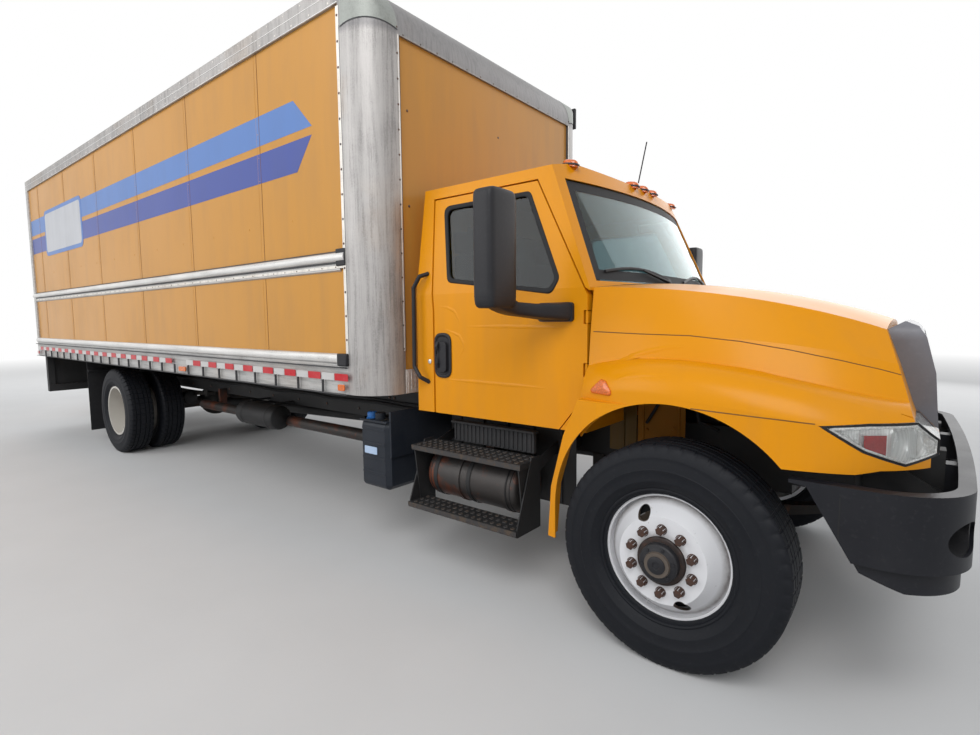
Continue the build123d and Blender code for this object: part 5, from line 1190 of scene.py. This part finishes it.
def sew(seams, form, start, end, way, step=24):
    """A piped seam laid along the skin of a cushion that is being built."""
    skin = BVHTree.FromBMesh(form.bm)
    a, b = mm(*start), mm(*end)
    count = max(2, int((b - a).length * 1000 / step))
    hits = [skin.ray_cast(a.lerp(b, k / count), Vector(way))[0] for k in range(count + 1)]
    path = [to_mm(p) for p in hits if p]
    if len(path) > 2:
        seams.tube(path, 3.2, 6)


form.prism([(-528, 1300), (-524, 1560), (-540, 1610), (-600, 1650), (-660, 1662), (-700, 1650),
            (-745, 1560), (-742, 1420), (-700, 1330)], "y", -896, 896)
form.box((-762, 180, 1520), (-700, 640, 1672))
form.box((-770, -170, 1340), (-720, 150, 1600))
cabin = form.make("dashboard", "cabin", bevel=14)
for y in (-760, -570, 140, 330):
    form.prism(oblong(y - 62, y + 62, 1560, 1606, 10), "x", -754, -742)
for y in (270, 360, 450, 540):
    form.turned([(38, 0), (38, 5), (33, 5), (33, 2), (0, 2)], (-762, y, 1600), BACKWARD, 24)
for z in (1390, 1450, 1510):
    form.prism(oblong(-120, 100, z - 16, z + 16, 8), "x", -777, -768)
form.make("dash_vents", "trim", bevel=1.5)

axis = Vector((-0.86, 0, 0.5)).normalized()
hub = Vector((-890, 420, 1600))
WHEEL_RADIUS, RIM_RADIUS = 222, 15
across = Vector((0, 1, 0))
upward = axis.cross(across)
rings = []
for a in turns(40):
    spoke = cos(a) * across + sin(a) * upward
    rings.append([mm(*(hub + spoke * (WHEEL_RADIUS + RIM_RADIUS * cos(b)) + axis * RIM_RADIUS * sin(b)))
                  for b in turns(10)])
form.loft(rings, caps=False, loop=True)
form.turned([(70, -18), (74, -6), (60, 14), (0, 20)], hub, axis, 28)
for a in (-0.2, pi + 0.2, -pi / 2):
    spoke = cos(a) * across + sin(a) * upward
    form.tube([hub + spoke * 55, hub + spoke * 214], 13, 8)
form.tube([hub - axis * 12, hub - axis * 190], [44, 52], 16)
form.make("steering_wheel", "trim")
for side, hand in SIDES:
    form.plate([(-1560, 1090), (-560, 1090), (-560, 1640), (-700, 1700), (-1500, 1790)], side, 930, 938)
form.make("door_cards", "cabin", bevel=3)
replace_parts(cabin, "cab_interior")

seams = Form()
for name, y, width, heads in (("driver", 420, 500, (420,)), ("bench", -400, 800, (-600, -200))):
    near, far = y - width / 2, y + width / 2
    channels = [y + width * share for share in (-0.33, -0.11, 0.11, 0.33)]
    pod(form, (-1600, near, 1385), (-1120, far, 1505), 0.35)
    for at in channels:
        sew(seams, form, (-1560, at, 1700), (-1150, at, 1700), (0, 0, -1))
    sew(seams, form, (-1000, near + 35, 1440), (-1000, far - 35, 1440), BACKWARD)
    form.make(f"{name}_cushion", "cloth", crease=80)
    pod(form, (-1668, near + 8, 1490), (-1540, far - 8, 2030), 0.35, lean=28)
    for at in channels:
        sew(seams, form, (-1300, at, 1540), (-1300, at, 1960), BACKWARD)
    sew(seams, form, (-1300, near + 40, 1965), (-1300, far - 40, 1965), BACKWARD)
    seams.make(f"{name}_seams", "cabin")
    form.make(f"{name}_back", "cloth", crease=80)
    for number, middle in enumerate(heads):
        pod(form, (-1690, middle - 130, 2030), (-1590, middle + 130, 2185), lean=8)
        form.make(f"{name}_headrest_{number}", "cloth", crease=80)
    form.box((-1590, near + 40, 1190), (-1150, far - 40, 1392))
    form.make(f"{name}_base", "cabin", bevel=12)


# Stage: a pale floor that fades into the white background, and plain soft light
LAMPS = (("key", (7.5, -9.0, 9.5), (0.5, 0, 1.4), 7.0, 780),
         ("side", (-4.0, -10.5, 6.0), (-2.0, 0, 1.6), 8.0, 480),
         ("fill", (5.2, 11.2, 6.3), (0, 0, 1.5), 11.0, 430),
         ("rear", (-13.0, 3.0, 7.5), (-4, 0, 1.6), 8.0, 430))


def studio():
    bpy.ops.mesh.primitive_plane_add(size=240)
    floor = bpy.context.object
    floor.name = "floor"
    s = Shader("floor", (0.66, 0.66, 0.66), 0.95)
    s.link(s.mix(s.noise(1.4, 6), (0.63, 0.63, 0.63), (0.69, 0.69, 0.69)), "Base Color")
    s.bump(s.noise(60, 3), 0.1, 0.003)
    white = s.node("Emission", Color=(1, 1, 1), Strength=1.0).outputs[0]
    fade = s.rise(s.length(s.axis(0), s.axis(1)), 9.0, 26.0)
    ray = s.node("LightPath").outputs
    seen = s.most(ray["Is Camera Ray"], s.most(ray["Is Glossy Ray"], ray["Is Transmission Ray"]))
    s.feed(s.blend(s.times(fade, seen), s.bsdf.outputs[0], white),
           s.tree.nodes["Material Output"].inputs["Surface"])
    floor.data.materials.append(s.material)

    world = bpy.data.worlds.new("studio")
    bpy.context.scene.world = world
    world.use_nodes = True
    w = Wires(world.node_tree)
    soft = w.tree.nodes["Background"]
    w.feed((0.92, 0.96, 1), soft.inputs["Color"])
    w.feed(0.42, soft.inputs["Strength"])
    plain = w.node("Background", Color=(1, 1, 1), Strength=1.0)
    ray = w.node("LightPath").outputs
    seen = w.most(w.most(ray["Is Camera Ray"], ray["Is Transmission Ray"]), ray["Is Glossy Ray"])
    w.feed(w.blend(seen, soft.outputs[0], plain.outputs[0]), w.tree.nodes["World Output"].inputs["Surface"])

    for name, place, aim, size, power in LAMPS:
        lamp = bpy.data.lights.new(name, "AREA")
        lamp.size = size
        lamp.energy = power
        holder = bpy.data.objects.new(name, lamp)
        bpy.context.scene.collection.objects.link(holder)
        holder.location = place
        holder.rotation_euler = (Vector(aim) - Vector(place)).to_track_quat("-Z", "Y").to_euler()


studio()

bpy.context.view_layer.update()
